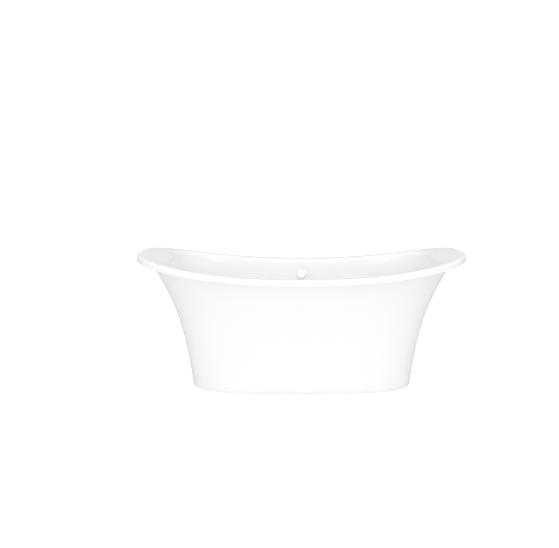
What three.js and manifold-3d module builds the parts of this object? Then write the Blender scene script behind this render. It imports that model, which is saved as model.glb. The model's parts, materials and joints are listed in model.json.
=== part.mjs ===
// Freestanding double-ended slipper bath: outer skirt, levelling frame, click-clack waste and overflow.
// Millimetres. +X runs along the bath, +Y points to the overflow side, +Z is up.
// The origin is on the floor, under the middle of the bath.
import * as THREE from 'three';
import { mergeVertices } from 'three/addons/utils/BufferGeometryUtils.js';
import Module from 'manifold-3d';

const wasm = await Module();
wasm.setup();

// ---------------------------------------------------------------------------------------------------------------
// Driving dimensions
// ---------------------------------------------------------------------------------------------------------------

// Clearances
const seatGap = 0.3; // between pieces that rest on or screw into each other
const threadGap = 0.5; // around a screwed tube
const weldTolerance = 1e-4;
const overlap = 1; // of two solids that are joined, or of a cutter past the face that it cuts

// Rim: a rounded rectangle in plan that sweeps up from the middle of the long sides to both ends
const bathLength = 1800;
const bathWidth = 800;
const rimHeightMid = 643;
const rimHeightEnd = 742;
const rimSweep = 2.23; // power of the rise towards the ends
const rimSquareness = 3.1; // 2 is an ellipse, more is squarer
const lipHeightSide = 30;
const lipHeightEnd = 33;
const lipRadius = 9;
const deckWidthSide = 40;
const deckWidthEnd = 34;
const deckFallSide = 1.5;
const deckFallEnd = 6;

// Skirt: upright at the floor and flared like a trumpet under the rim
const skirtWall = 5;
const skirtFloorGap = 2;
const skirtBaseLength = 1236;
const skirtBaseWidth = 572;
const skirtBaseSquareness = 3.77;
const skirtOverhangEnd = 62; // how far the rim stands out past the top of the skirt
const skirtOverhangSide = 22;
const skirtLeanEnd = 86; // the straight part of the lean, floor to rim
const skirtLeanSide = 17;
const skirtFlarePowerEnd = 2.8;
const skirtFlarePowerSide = 2.2;
const skirtFlange = 4;
const skirtFlangeRecess = 2; // up inside the lip
const skirtFlangeGap = 1; // to the inside of the lip
const skirtReturn = 18;
const skirtReturnThickness = 4;
const skirtEdgeChamfer = 3;

// Basin: the moulded inner shell, rim included
const basinWall = 6;
const floorHeight = 215;
const floorFall = 2.5;
const roundSquareness = 2; // round the drain
const floorSquareness = 2.9;
const wallSquareness = 4.8;
const wallFootHeight = 300; // the floor fillet ends and the walls start here
const filletRunEnd = 110;
const filletRunSide = 80;
const filletReach = 50;
const cavityFootEnd = 57; // outside of the skirt to the wet wall, at the foot of the backrests
const cavityTopEnd = 76; // and at the top of the backrests
const cavityTopSide = 48; // and at the top of the side walls
const rollDropEnd = 60; // the wall rolls over into the deck from here up
const rollDropSide = 40;
const rollReachEnd = 36;
const rollReachSide = 24;
const rollLevelShare = 0.45; // where the roll-over levels out, from the deck's inner edge to the wall top
const rollFallSide = 1; // from the deck's inner edge down to there
const rollFallEnd = 13;
const backrestBow = 8; // how far the backrest bows in from a straight line
const bondInner = 0.5; // edges of the bead, as shares of the flange's width
const bondOuter = 0.85;
const bondHeight = 10;
const bondGap = 0.7; // under the bead, whose facets cross those of the flange

// Drain
const drainHoleRadius = 26;
const dishRadius = 46;
const dishSlope = 4;
const dishDepth = 3;
const drainTubeRadius = 24.5;
const drainTubeWall = 4.5;
const drainTubeLength = 54;
const drainFlangeRadius = 39;
const drainFlangeThickness = 2.5;
const drainFlangeEdge = 1; // upright edge, under the bevel
const drainFlangeBevel = 3;
const drainMouthWidth = 2; // bevel into the bore
const drainMouthDepth = 3;
const gasketThickness = 1.5;
const underGasketThickness = 3;
const gasketSetback = 1.5; // from the edge of the flange that hides it
const spiderDepth = 46; // from the top of the drain flange down to the top of its cross arms
const spiderHeight = 5;
const spiderArmWidth = 4;
const spiderHubRadius = 7;
const spiderHubDrop = 2; // the hub hangs below the arms

// Click-clack plug
const plugRise = 10;
const plugCapRadius = 31;
const plugCapThickness = 2.4;
const plugDome = 3.6;
const plugBossRadius = 9;
const plugBossLength = 5;
const plugSealThickness = 2;
const plugSealWidth = 5.5;
const plugSealMargin = 2; // from the mouth of the drain
const plugCapEdge = 0.8;
const barrelRadius = 8.2;
const barrelWall = 1.8;
const barrelLength = 40;
const barrelLip = 2;
const barrelSpigotRadius = 2.9;
const barrelSpigotProud = 1; // below the cross arms
const stemRadius = 3.4;
const stemGuideLength = 8; // inside the spring
const stemGuideStep = 0.6;
const stemTopCover = 1; // metal of the cap over the end of the stem
const collarHeight = 2.5;
const collarTopMargin = 2.5; // left between the collar and the barrel's lip when the plug is up
const springWire = 0.7;
const springTurns = 5;

// Waste body, its side port and its tail
const wasteFlangeRadius = 41;
const wasteFlangeThickness = 4;
const wasteRadius = 31;
const wasteDrop = 118; // from its top face to the bottom of its outlet
const wasteOutletRadius = 21;
const wasteOutletBore = 16.5;
const wasteOutletLength = 26;
const wasteTaper = 16; // from the outlet up to the body, outside
const wasteInnerTaperLow = 6; // the taper inside, measured from the top of the outlet
const wasteInnerTaperHigh = 20;
const portDrop = 62;
const portRadius = 10.8;
const portBore = 8.3;
const portReach = 64;
const tailRadius = 19;
const tailWall = 2.5;
const tailLength = 58;
const tailCollar = 4;
const tailNutRadius = 27;
const tailNutLength = 22;
const tailNutFloor = 3;

// Overflow, set square to the sloping side wall
const overflowDrop = 98;
const overflowHoleRadius = 20;
const coverRadius = 27.5;
const coverWall = 2.2;
const coverDepth = 11;
const coverDome = 3;
const coverEdgeRound = 3;
const coverCrownShare = 0.6; // how flat the crown is
const coverInnerBevel = 2;
const coverNotchAngle = Math.PI / 3;
const coverNotchDepth = 5.5;
const faceplateThickness = 2.2;
const faceplateNeckWall = 2.4;
const faceplateNeckShort = 1; // of the dry side of the wall
const faceplateArmWidth = 4;
const faceplateArmDepth = 1;
const faceplateHubRadius = 6.5;
const faceplateHubDepth = 2;
const overflowGasketThickness = 2;
const elbowFlangeRadius = 28;
const elbowFlangeThickness = 4;
const elbowRadius = 24;
const elbowDepth = 24.4;
const elbowWall = 2.4;
const elbowOutlet = 40;
const elbowOutletDepth = 14; // below the elbow's front face
const elbowPostWall = 2.5;
const elbowPostSetback = 8;
const overflowScrewRadius = 3;
const overflowScrewLength = 26;
const screwHeadRadius = 5.5;
const screwHeadHeight = 3;
const screwHeadBevel = 1;

// Overflow hose
const hoseRadius = 12;
const hoseGroove = 1.6;
const hoseWall = 1.6;
const hoseRibPitch = 20;
const hoseSides = 8;
const hoseTurnTop = 260;
const hoseTurnReach = 105;
const hoseNutRadius = 15;
const hoseNutGrip = 10;
const hoseNutBevel = 2;
const hoseNutClearance = 0.8; // to the inside of the skirt

// Base board and frame
const boardLength = 960;
const boardWidth = 320;
const boardThickness = 15;
const boardCorner = 60;
const boardHoleRadius = 56;
const tubeSize = 25;
const tubeWall = 2;
const railLength = 1000;
const railSpacing = 240;
const barSpacing = 800;
const barLength = 440;
const railBoltRadius = 4;
const railBoltGrip = 10; // how far the bolts reach into the board
const railBoltHead = 6;
const railBoltAcross = 13;

// Levelling feet
const footSpacing = 390; // across the bath, along each cross bar
const footTravel = 25;
const padRadius = 24;
const padHeight = 10;
const padNeckRadius = 12;
const padNeckHeight = 12;
const padSocketDepth = 10;
const padEdgeDrop = 3; // the pad's top slopes down to its edge
const padShoulderRise = 2;
const padNeckTaper = 1;
const studRadius = 6;
const studSpare = 14.5; // thread left above the weld nut at full travel
const studHexAcross = 15;
const studHexHeight = 10;
const studHexLift = 3; // above the pad
const nutAcross = 19;
const nutHeight = 8;
const weldNutHeight = 10;

// Ties from the cross bars to the skirt
const blockLength = 70;
const blockHeight = 60;
const blockDepth = 22;
const bracketThickness = 3;
const bracketOverlap = 45;
const bracketFace = 40;
const tieScrewRadius = 2.5;
const tieScrewLength = 18;
const tieScrewPoint = 3;
const tieScrewHeadHeight = 2.6;
const tieScrewHeadRadius = 5;
const tieScrewHeadFlat = 3;

// Fineness
const rimSegments = 48;
const capSegments = 24;
const roundSegments = 18;
const boreSegments = 16;
const bossSegments = 12;
const smallSegments = 10;
const smallestSegments = 8;
const cornerSegments = 6;
const wireSegments = 3;
const springSteps = 8; // in each turn
const hoseInnerStride = 4; // the plain inside of the hose needs fewer rings than its ribs

// ---------------------------------------------------------------------------------------------------------------
// Shape helpers
// ---------------------------------------------------------------------------------------------------------------

const mix = THREE.MathUtils.lerp;

function signedVolume(geometry) {
  const position = geometry.attributes.position;
  const index = geometry.index;
  const [a, b, c] = [new THREE.Vector3(), new THREE.Vector3(), new THREE.Vector3()];
  let volume = 0;
  for (let i = 0; i < index.count; i += 3) {
    a.fromBufferAttribute(position, index.getX(i));
    b.fromBufferAttribute(position, index.getX(i + 1));
    c.fromBufferAttribute(position, index.getX(i + 2));
    volume += a.dot(b.cross(c)) / 6;
  }
  return volume;
}

// Merges shared vertices, drops collapsed triangles and turns the faces outwards.
function tidy(geometry) {
  const bare = new THREE.BufferGeometry();
  bare.setAttribute('position', geometry.attributes.position);
  if (geometry.index) bare.setIndex(geometry.index);
  const merged = mergeVertices(bare, weldTolerance);
  const old = merged.index.array;
  const kept = [];
  for (let i = 0; i < old.length; i += 3) {
    const [a, b, c] = [old[i], old[i + 1], old[i + 2]];
    if (a !== b && b !== c && c !== a) kept.push(a, b, c);
  }
  merged.setIndex(kept);
  if (signedVolume(merged) < 0) {
    for (let i = 0; i < kept.length; i += 3) [kept[i], kept[i + 1]] = [kept[i + 1], kept[i]];
    merged.setIndex(kept);
  }
  return merged;
}

// A closed surface through rows of points, joined round each row and from the last row back to the first.
function closedGrid(rows) {
  const count = rows[0].length;
  const index = [];
  rows.forEach((row, r) => {
    const next = (r + 1) % rows.length;
    for (let i = 0; i < count; i++) {
      const j = (i + 1) % count;
      index.push(r * count + i, r * count + j, next * count + j);
      index.push(r * count + i, next * count + j, next * count + i);
    }
  });
  const geometry = new THREE.BufferGeometry().setFromPoints(rows.flat());
  geometry.setIndex(index);
  return tidy(geometry);
}

function toSolid(geometry) {
  const mesh = tidy(geometry);
  const triVerts = Uint32Array.from(mesh.index.array);
  const vertProperties = Float32Array.from(mesh.attributes.position.array);
  return new wasm.Manifold(new wasm.Mesh({ numProp: 3, vertProperties, triVerts }));
}

function toGeometry(solid) {
  const mesh = solid.getMesh();
  const geometry = new THREE.BufferGeometry();
  geometry.setAttribute('position', new THREE.Float32BufferAttribute(mesh.vertProperties, 3));
  geometry.setIndex(Array.from(mesh.triVerts));
  return geometry;
}

// Joins the first list and takes the second away from it.
function carve(joined, removed = []) {
  const body = joined.map(toSolid).reduce((whole, piece) => whole.add(piece));
  return toGeometry(removed.map(toSolid).reduce((whole, piece) => whole.subtract(piece), body));
}

// A shape turned about +Z from [radius, height] points. The outline closes on itself or ends on the axis.
function turned(points, segments = roundSegments) {
  const outline = points.map(([radius, height]) => new THREE.Vector2(radius, height));
  return new THREE.LatheGeometry(outline, segments).rotateX(Math.PI / 2);
}

function rod(radius, low, high, segments = smallSegments) {
  return turned([[0, low], [radius, low], [radius, high], [0, high]], segments);
}

function ringTube(outer, inner, low, high, segments = roundSegments) {
  return turned([[inner, low], [outer, low], [outer, high], [inner, high], [inner, low]], segments);
}

function hexPrism(across, low, high) {
  return rod(across / Math.sqrt(3), low, high, 6);
}

function box(sizeX, sizeY, low, high) {
  return new THREE.BoxGeometry(sizeX, sizeY, high - low).translate(0, 0, (low + high) / 2);
}

// ---------------------------------------------------------------------------------------------------------------
// Materials and the bath group
// ---------------------------------------------------------------------------------------------------------------

function finish(color, roughness, metalness = 0) {
  return new THREE.MeshStandardMaterial({ color, roughness, metalness });
}

const acrylic = finish(0xfafafa, 0.08);
const skirtAcrylic = finish(0xf8f8f8, 0.1);
const adhesive = finish(0xe6e4dd, 0.7);
const chrome = finish(0xd8dadc, 0.08, 1);
const rubber = finish(0x2b2b2b, 0.8);
const steel = finish(0xa9adb0, 0.4, 0.9);
const springSteel = finish(0xb9bcc0, 0.3, 1);
const padPlastic = finish(0x3a3a3c, 0.6);
const timber = finish(0xc9a878, 0.75);
const wastePlastic = finish(0xeeeeec, 0.4);
const hosePlastic = finish(0xd5d6d4, 0.5);

const bath = new THREE.Group();

function addPiece(name, geometry, material, parent = bath) {
  const mesh = new THREE.Mesh(tidy(geometry), material);
  mesh.name = name;
  parent.add(mesh);
  return mesh;
}

// ---------------------------------------------------------------------------------------------------------------
// Lofted rings: every level of the shells is a rounded rectangle whose height sweeps up towards the ends
// ---------------------------------------------------------------------------------------------------------------

const level = (halfLength, halfWidth, heightMid, heightEnd, squareness) => ({
  halfLength, halfWidth, heightMid, heightEnd, squareness,
});

function levelPoint(ring, angle) {
  const cos = Math.cos(angle);
  const sin = Math.sin(angle);
  const power = ring.squareness;
  const reach = (Math.abs(cos) ** power + Math.abs(sin) ** power) ** (-1 / power);
  const rise = Math.abs(cos * reach) ** rimSweep;
  const height = mix(ring.heightMid, ring.heightEnd, rise);
  return new THREE.Vector3(ring.halfLength * cos * reach, ring.halfWidth * sin * reach, height);
}

function levelPoints(ring) {
  return Array.from({ length: rimSegments }, (_, i) => levelPoint(ring, (i / rimSegments) * 2 * Math.PI));
}

const loft = (levels) => closedGrid(levels.map(levelPoints));

// ---------------------------------------------------------------------------------------------------------------
// Skirt form: half-length and half-width against the level, 0 at the floor and 1 under the rim
// ---------------------------------------------------------------------------------------------------------------

const rimHalfLength = bathLength / 2;
const rimHalfWidth = bathWidth / 2;
const skirtTopMid = rimHeightMid - lipHeightSide + skirtFlangeRecess;
const skirtTopEnd = rimHeightEnd - lipHeightEnd + skirtFlangeRecess;

function flare(base, top, lean, power, share) {
  return base + lean * share + (top - base - lean) * share ** power;
}

function skirtHalfLength(share) {
  const top = rimHalfLength - skirtOverhangEnd;
  return flare(skirtBaseLength / 2, top, skirtLeanEnd, skirtFlarePowerEnd, share);
}

function skirtHalfWidth(share) {
  const top = rimHalfWidth - skirtOverhangSide;
  return flare(skirtBaseWidth / 2, top, skirtLeanSide, skirtFlarePowerSide, share);
}

const skirtSquareness = (share) => mix(skirtBaseSquareness, rimSquareness, share);
const skirtShare = (height, top) => (height - skirtFloorGap) / (top - skirtFloorGap);

function skirtLevel(share, inset, lift = 0) {
  return level(
    skirtHalfLength(share) - inset,
    skirtHalfWidth(share) - inset,
    mix(skirtFloorGap, skirtTopMid, share) + lift,
    mix(skirtFloorGap, skirtTopEnd, share) + lift,
    skirtSquareness(share),
  );
}

// The upper face of the flange, from its outer edge by the lip in to the top of the wall.
const flangeInset = basinWall + skirtFlangeGap;
const flangeOuterTop = level(
  rimHalfLength - flangeInset,
  rimHalfWidth - flangeInset,
  skirtTopMid + skirtFlange,
  skirtTopEnd + skirtFlange,
  rimSquareness,
);
const flangeInnerTop = skirtLevel(1, skirtWall, skirtFlange);

function makeSkirt() {
  const chamferShare = skirtEdgeChamfer / (skirtTopMid - skirtFloorGap);
  const outerShares = [chamferShare, 0.2, 0.38, 0.54, 0.68, 0.8, 0.9, 1];
  const innerShares = [0.9, 0.72, 0.45, 0.2];
  const flangeOuterBottom = { ...flangeOuterTop, heightMid: skirtTopMid, heightEnd: skirtTopEnd };
  return loft([
    skirtLevel(0, skirtWall + skirtReturn),
    skirtLevel(0, skirtEdgeChamfer),
    ...outerShares.map((share) => skirtLevel(share, 0)),
    flangeOuterBottom,
    flangeOuterTop,
    flangeInnerTop,
    ...innerShares.map((share) => skirtLevel(share, skirtWall)),
    skirtLevel(0, skirtWall, skirtReturnThickness),
    skirtLevel(0, skirtWall + skirtReturn, skirtReturnThickness),
  ]);
}

// ---------------------------------------------------------------------------------------------------------------
// Basin form: the wall is drawn twice, at the middle of the long side and at the end, with the same stretches
// ---------------------------------------------------------------------------------------------------------------

const dishHeight = floorHeight - dishDepth;
const floorUnderside = floorHeight - basinWall;
const vector = (x, y) => new THREE.Vector2(x, y);
const footShareEnd = skirtShare(wallFootHeight, skirtTopEnd);
const rollShareEnd = skirtShare(rimHeightEnd - rollDropEnd, skirtTopEnd);

const endWallFoot = vector(skirtHalfLength(footShareEnd) - cavityFootEnd, wallFootHeight);
const endWallTop = vector(skirtHalfLength(rollShareEnd) - cavityTopEnd, rimHeightEnd - rollDropEnd);

// The side wall leans so that the overflow's elbow and hose nut fit between it and the skirt.
const overflowHeight = rimHeightMid - overflowDrop;
const nutEndHeight = overflowHeight - elbowOutlet - hoseNutGrip;
const nutEndShare = skirtShare(nutEndHeight, skirtTopMid);
const nutSide = vector(skirtHalfWidth(nutEndShare) - skirtWall - hoseNutClearance, nutEndHeight);
const nutReach = basinWall + overflowGasketThickness + 2 * seatGap + elbowOutletDepth + hoseNutRadius;
const sideWallTop = vector(skirtHalfWidth(1) - cavityTopSide, rimHeightMid - rollDropSide);
const nutWay = nutSide.clone().sub(sideWallTop);
const wallLean = Math.asin(nutReach / nutWay.length()) - Math.atan2(nutWay.x, -nutWay.y);
const sideWallRun = Math.tan(wallLean) * (sideWallTop.y - wallFootHeight);
const sideWallFoot = vector(sideWallTop.x - sideWallRun, wallFootHeight);

// Pulls the middle of a straight wall towards the inside of the bath.
function bowedMiddle(foot, top, bow) {
  const along = top.clone().sub(foot).normalize();
  return foot.clone().add(top).multiplyScalar(0.5).add(vector(-along.y, along.x).multiplyScalar(2 * bow));
}

const sideDrawing = {
  edge: rimHalfWidth,
  top: rimHeightMid,
  lipHeight: lipHeightSide,
  deckWidth: deckWidthSide,
  deckFall: deckFallSide,
  wallTop: sideWallTop,
  wallMiddle: bowedMiddle(sideWallFoot, sideWallTop, 0),
  wallFoot: sideWallFoot,
  rollReach: rollReachSide,
  rollFall: rollFallSide,
  floorEdge: sideWallFoot.x - filletRunSide,
};
const endDrawing = {
  edge: rimHalfLength,
  top: rimHeightEnd,
  lipHeight: lipHeightEnd,
  deckWidth: deckWidthEnd,
  deckFall: deckFallEnd,
  wallTop: endWallTop,
  wallMiddle: bowedMiddle(endWallFoot, endWallTop, backrestBow),
  wallFoot: endWallFoot,
  rollReach: rollReachEnd,
  rollFall: rollFallEnd,
  floorEdge: endWallFoot.x - filletRunEnd,
};

// Points from the drain hole's edge, over the floor, up the wall and over the rim to the foot of the lip.
function wetPoints(drawing) {
  const { edge, top, lipHeight, deckWidth, deckFall, floorEdge } = drawing;
  const { wallTop, wallMiddle, wallFoot, rollReach, rollFall } = drawing;
  const intoWall = wallFoot.clone().sub(wallMiddle).setLength(filletReach);
  const offWall = wallTop.clone().sub(wallMiddle).setLength(rollReach);
  const filletEnd = wallFoot.clone().add(intoWall);
  const rollStart = wallTop.clone().add(offWall);
  const deckInner = vector(edge - deckWidth, top - deckFall);
  const rollLevelX = mix(deckInner.x, wallTop.x, rollLevelShare);
  const rollLevelY = deckInner.y - rollFall;
  const floorTop = floorHeight + floorFall;
  const path = new THREE.Path();
  path.moveTo(drainHoleRadius, dishHeight);
  path.lineTo(dishRadius - dishSlope, dishHeight);
  path.lineTo(dishRadius, floorHeight);
  path.lineTo(floorEdge, floorTop);
  path.bezierCurveTo(floorEdge + filletReach, floorTop, filletEnd.x, filletEnd.y, wallFoot.x, wallFoot.y);
  path.quadraticCurveTo(wallMiddle.x, wallMiddle.y, wallTop.x, wallTop.y);
  path.bezierCurveTo(rollStart.x, rollStart.y, rollLevelX, rollLevelY, deckInner.x, deckInner.y);
  path.lineTo(edge - lipRadius, top);
  path.absarc(edge - lipRadius, top - lipRadius, lipRadius, Math.PI / 2, 0, true);
  path.lineTo(edge, top - lipHeight);
  const stretchSteps = [1, 1, 1, 3, 3, 3, 1, 2, 1];
  const points = [path.curves[0].getPoint(0)];
  path.curves.forEach((curve, i) => points.push(...curve.getPoints(stretchSteps[i]).slice(1)));
  return points;
}

const dishEdgeIndex = 2;
const floorEdgeIndex = 3;
const wallTopIndex = 9;
const deckInnerIndex = 12;
const drySkipped = [4, 7, 10]; // levels that the plainer dry side does without

// The same points moved through the wall to its dry side. The floor's underside is flat, to bed on the board.
function dryPoints(wet) {
  return wet.map((point, i) => {
    const before = wet[Math.max(i - 1, 0)];
    const after = wet[Math.min(i + 1, wet.length - 1)];
    const along = after.clone().sub(before).normalize();
    const dry = vector(point.x + along.y * basinWall, point.y - along.x * basinWall);
    if (i === 0 || i === 1) dry.set(point.x, point.y - basinWall);
    if (i === dishEdgeIndex || i === floorEdgeIndex) dry.set(point.x, floorUnderside);
    if (i === wet.length - 1) dry.set(point.x - basinWall, point.y);
    return dry;
  });
}

// Round at the drain, squarest up the walls and back to the rim's own squareness over the roll.
function basinSquareness(i) {
  if (i <= dishEdgeIndex) return roundSquareness;
  if (i === floorEdgeIndex) return floorSquareness;
  const roll = THREE.MathUtils.clamp((i - wallTopIndex) / (deckInnerIndex - wallTopIndex), 0, 1);
  return mix(wallSquareness, rimSquareness, roll);
}

function basinLevels(sidePoints, endPoints) {
  return sidePoints.map((side, i) => (
    level(endPoints[i].x, side.x, side.y, endPoints[i].y, basinSquareness(i))
  ));
}

// The overflow's frame: on the wet face of the far side wall, local +Z into the bath, local +Y up the wall.
const sideWallY = (height) => sideWallFoot.x + (height - wallFootHeight) * Math.tan(wallLean);

function atOverflow(object) {
  object.position.set(0, sideWallY(overflowHeight), overflowHeight);
  object.rotation.x = Math.PI / 2 - wallLean;
  object.updateMatrixWorld();
  return object;
}

const overflow = atOverflow(new THREE.Group());

function makeBasin() {
  const sideWet = wetPoints(sideDrawing);
  const endWet = wetPoints(endDrawing);
  const wet = basinLevels(sideWet, endWet);
  const dry = basinLevels(dryPoints(sideWet), dryPoints(endWet)).filter((_, i) => !drySkipped.includes(i));
  const shell = loft([...wet, ...dry.reverse()]);
  const holeReach = 4 * basinWall;
  const hole = rod(overflowHoleRadius, -holeReach, holeReach, roundSegments);
  return carve([shell], [hole.applyMatrix4(overflow.matrixWorld)]);
}

// The bead of adhesive on the flange, under the deck.
function makeRimBond() {
  const bondLevel = (share, lift) => level(
    mix(flangeInnerTop.halfLength, flangeOuterTop.halfLength, share),
    mix(flangeInnerTop.halfWidth, flangeOuterTop.halfWidth, share),
    flangeInnerTop.heightMid + bondGap + lift,
    flangeInnerTop.heightEnd + bondGap + lift,
    rimSquareness,
  );
  return loft([
    bondLevel(bondInner, 0),
    bondLevel(bondOuter, 0),
    bondLevel(bondOuter, bondHeight),
    bondLevel(bondInner, bondHeight),
  ]);
}

addPiece('basin_shell', makeBasin(), acrylic);
const skirt = addPiece('outer_skirt', makeSkirt(), skirtAcrylic);
addPiece('rim_bond_bead', makeRimBond(), adhesive);

// Distance from the middle plane to the inside of the skirt, at a place along the bath and a height.
function skirtInnerY(x, height) {
  const start = new THREE.Vector3(x + weldTolerance, 0, height);
  return new THREE.Raycaster(start, new THREE.Vector3(0, 1, 0)).intersectObject(skirt)[0].point.y;
}

// ---------------------------------------------------------------------------------------------------------------
// Base board, rails and cross bars
// ---------------------------------------------------------------------------------------------------------------

const boardTop = floorUnderside - seatGap;
const boardBottom = boardTop - boardThickness;
const railTop = boardBottom - seatGap;
const railBottom = railTop - tubeSize;
const barTop = railBottom - seatGap;
const barBottom = barTop - tubeSize;
const sides = [['left', -1], ['right', 1]];
const faces = [['front', -1], ['back', 1]];
const corners = faces.flatMap(([face, faceSign]) => sides.map(([side, sideSign]) => ({
  name: `${face}_${side}`, sideSign, faceSign,
})));
const railBoltHole = (corner, low, high) => rod(railBoltRadius + threadGap, low, high, smallestSegments)
  .translate(corner.sideSign * barSpacing / 2, corner.faceSign * railSpacing / 2, 0);

function makeBoard() {
  const outline = new THREE.Shape();
  const halfX = boardLength / 2 - boardCorner;
  const halfY = boardWidth / 2 - boardCorner;
  outline.absarc(halfX, halfY, boardCorner, 0, Math.PI / 2);
  outline.absarc(-halfX, halfY, boardCorner, Math.PI / 2, Math.PI);
  outline.absarc(-halfX, -halfY, boardCorner, Math.PI, 1.5 * Math.PI);
  outline.absarc(halfX, -halfY, boardCorner, 1.5 * Math.PI, 2 * Math.PI);
  const hole = new THREE.Path();
  hole.absarc(0, 0, boardHoleRadius, 0, 2 * Math.PI, true);
  outline.holes.push(hole);
  const slab = new THREE.ExtrudeGeometry(outline, {
    depth: boardThickness, bevelEnabled: false, curveSegments: cornerSegments,
  });
  const holeTop = boardBottom + railBoltGrip + overlap;
  const boltHoles = corners.map((corner) => railBoltHole(corner, boardBottom - overlap, holeTop));
  return carve([slab.translate(0, 0, boardBottom)], boltHoles);
}

// A square tube along +X with open ends, centred on its axis.
function squareTube(length) {
  const half = tubeSize / 2;
  const square = (reach, shape) => shape
    .moveTo(-reach, -reach).lineTo(reach, -reach).lineTo(reach, reach).lineTo(-reach, reach).closePath();
  const section = square(half, new THREE.Shape());
  section.holes.push(square(half - tubeWall, new THREE.Path()));
  const tube = new THREE.ExtrudeGeometry(section, { depth: length, bevelEnabled: false });
  return tube.translate(0, 0, -length / 2).rotateY(Math.PI / 2);
}

addPiece('base_board', makeBoard(), timber);

for (const [face, sign] of faces) {
  const tube = squareTube(railLength).translate(0, sign * railSpacing / 2, railTop - tubeSize / 2);
  const holes = corners.filter((corner) => corner.faceSign === sign)
    .map((corner) => railBoltHole(corner, railBottom - overlap, railTop + overlap));
  addPiece(`frame_rail_${face}`, carve([tube], holes), steel);
}

const studHole = (sign) => rod(studRadius + 2 * threadGap, barBottom - overlap, barTop + overlap)
  .translate(0, sign * footSpacing / 2, 0);

for (const [side, sign] of sides) {
  const barX = sign * barSpacing / 2;
  const tube = squareTube(barLength).rotateZ(Math.PI / 2).translate(barX, 0, barTop - tubeSize / 2);
  const studHoles = [studHole(-1), studHole(1)].map((hole) => hole.translate(barX, 0, 0));
  const boltHoles = corners.filter((corner) => corner.sideSign === sign)
    .map((corner) => railBoltHole(corner, barBottom - overlap, barTop + overlap));
  addPiece(`cross_bar_${side}`, carve([tube], [...studHoles, ...boltHoles]), steel);
}

for (const corner of corners) {
  const shank = rod(railBoltRadius, barBottom - railBoltHead, boardBottom + railBoltGrip, smallestSegments);
  const head = hexPrism(railBoltAcross, barBottom - seatGap - railBoltHead, barBottom - seatGap);
  const bolt = addPiece(`rail_bolt_${corner.name}`, carve([shank, head]), steel);
  bolt.position.set(corner.sideSign * barSpacing / 2, corner.faceSign * railSpacing / 2, 0);
}

// ---------------------------------------------------------------------------------------------------------------
// Levelling feet: a pad that stays still on the floor and a stud that screws down out of a welded nut
// ---------------------------------------------------------------------------------------------------------------

const socketFloor = padHeight + padNeckHeight - padSocketDepth;
const studBottom = socketFloor + seatGap;
const weldNutTop = barBottom - seatGap;
const weldNutBottom = weldNutTop - weldNutHeight;
const lockNutTop = weldNutBottom - seatGap;
const studTop = weldNutTop + footTravel + studSpare;

function makePad() {
  const neckTop = padHeight + padNeckHeight;
  const socket = studRadius + threadGap;
  return turned([
    [0, 0], [padRadius, 0], [padRadius, padHeight - padEdgeDrop],
    [padNeckRadius, padHeight + padShoulderRise], [padNeckRadius - padNeckTaper, neckTop],
    [socket, neckTop], [socket, socketFloor], [0, socketFloor],
  ], bossSegments);
}

function makeStud() {
  const hexLow = padHeight + padNeckHeight + studHexLift;
  return carve([
    rod(studRadius, studBottom, studTop),
    hexPrism(studHexAcross, hexLow, hexLow + studHexHeight),
  ]);
}

function makeNut(low, high, across) {
  return carve([hexPrism(across, low, high)], [rod(studRadius + threadGap, low - overlap, high + overlap)]);
}

for (const corner of corners) {
  const foot = new THREE.Group();
  foot.position.set(corner.sideSign * barSpacing / 2, corner.faceSign * footSpacing / 2, 0);
  addPiece(`foot_pad_${corner.name}`, makePad(), padPlastic, foot);
  addPiece(`foot_stud_${corner.name}`, makeStud(), steel, foot);
  addPiece(`lock_nut_${corner.name}`, makeNut(lockNutTop - nutHeight, lockNutTop, nutAcross), steel, foot);
  addPiece(`weld_nut_${corner.name}`, makeNut(weldNutBottom, weldNutTop, nutAcross), steel, foot);
  bath.add(foot);
}

// ---------------------------------------------------------------------------------------------------------------
// Ties: a timber block bonded inside the skirt, an angle bracket on the end of the cross bar, and a screw
// ---------------------------------------------------------------------------------------------------------------

const tieHeight = barTop - tubeSize / 2;
const blockLow = tieHeight - blockHeight / 2;
const tieX = barSpacing / 2 + tubeSize / 2 + seatGap + bracketFace / 2;
const blockCornersY = [-1, 1].map((end) => skirtInnerY(tieX + end * blockLength / 2, blockLow));
const blockOuterY = Math.min(...blockCornersY) - seatGap;
const blockInnerY = blockOuterY - blockDepth;

// The block's outer face is scribed to the inside of the skirt.
function makeBlock() {
  const block = new THREE.BoxGeometry(blockLength, blockDepth, blockHeight, 2, 1, 2);
  block.translate(tieX, blockInnerY + blockDepth / 2, tieHeight);
  const position = block.attributes.position;
  for (let i = 0; i < position.count; i++) {
    if (position.getY(i) > blockInnerY + blockDepth / 2) {
      position.setY(i, skirtInnerY(position.getX(i), position.getZ(i)) - seatGap);
    }
  }
  const pilot = rod(tieScrewRadius + seatGap, -overlap, tieScrewLength, smallestSegments);
  pilot.rotateX(-Math.PI / 2).translate(tieX, blockInnerY, tieHeight);
  return carve([block], [pilot]);
}

function makeBracket() {
  const barFace = barSpacing / 2 + tubeSize / 2 + seatGap;
  const faceY = blockInnerY - seatGap;
  const angle = new THREE.Shape();
  angle.moveTo(barFace, barLength / 2 - bracketOverlap);
  angle.lineTo(barFace + bracketThickness, barLength / 2 - bracketOverlap);
  angle.lineTo(barFace + bracketThickness, faceY - bracketThickness);
  angle.lineTo(barFace + bracketFace, faceY - bracketThickness);
  angle.lineTo(barFace + bracketFace, faceY);
  angle.lineTo(barFace, faceY);
  angle.closePath();
  const plate = new THREE.ExtrudeGeometry(angle, { depth: tubeSize, bevelEnabled: false });
  plate.translate(0, 0, tieHeight - tubeSize / 2);
  const hole = rod(tieScrewRadius + seatGap, -overlap, bracketThickness + overlap, smallestSegments);
  hole.rotateX(-Math.PI / 2).translate(tieX, faceY - bracketThickness, tieHeight);
  return carve([plate], [hole]);
}

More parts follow.
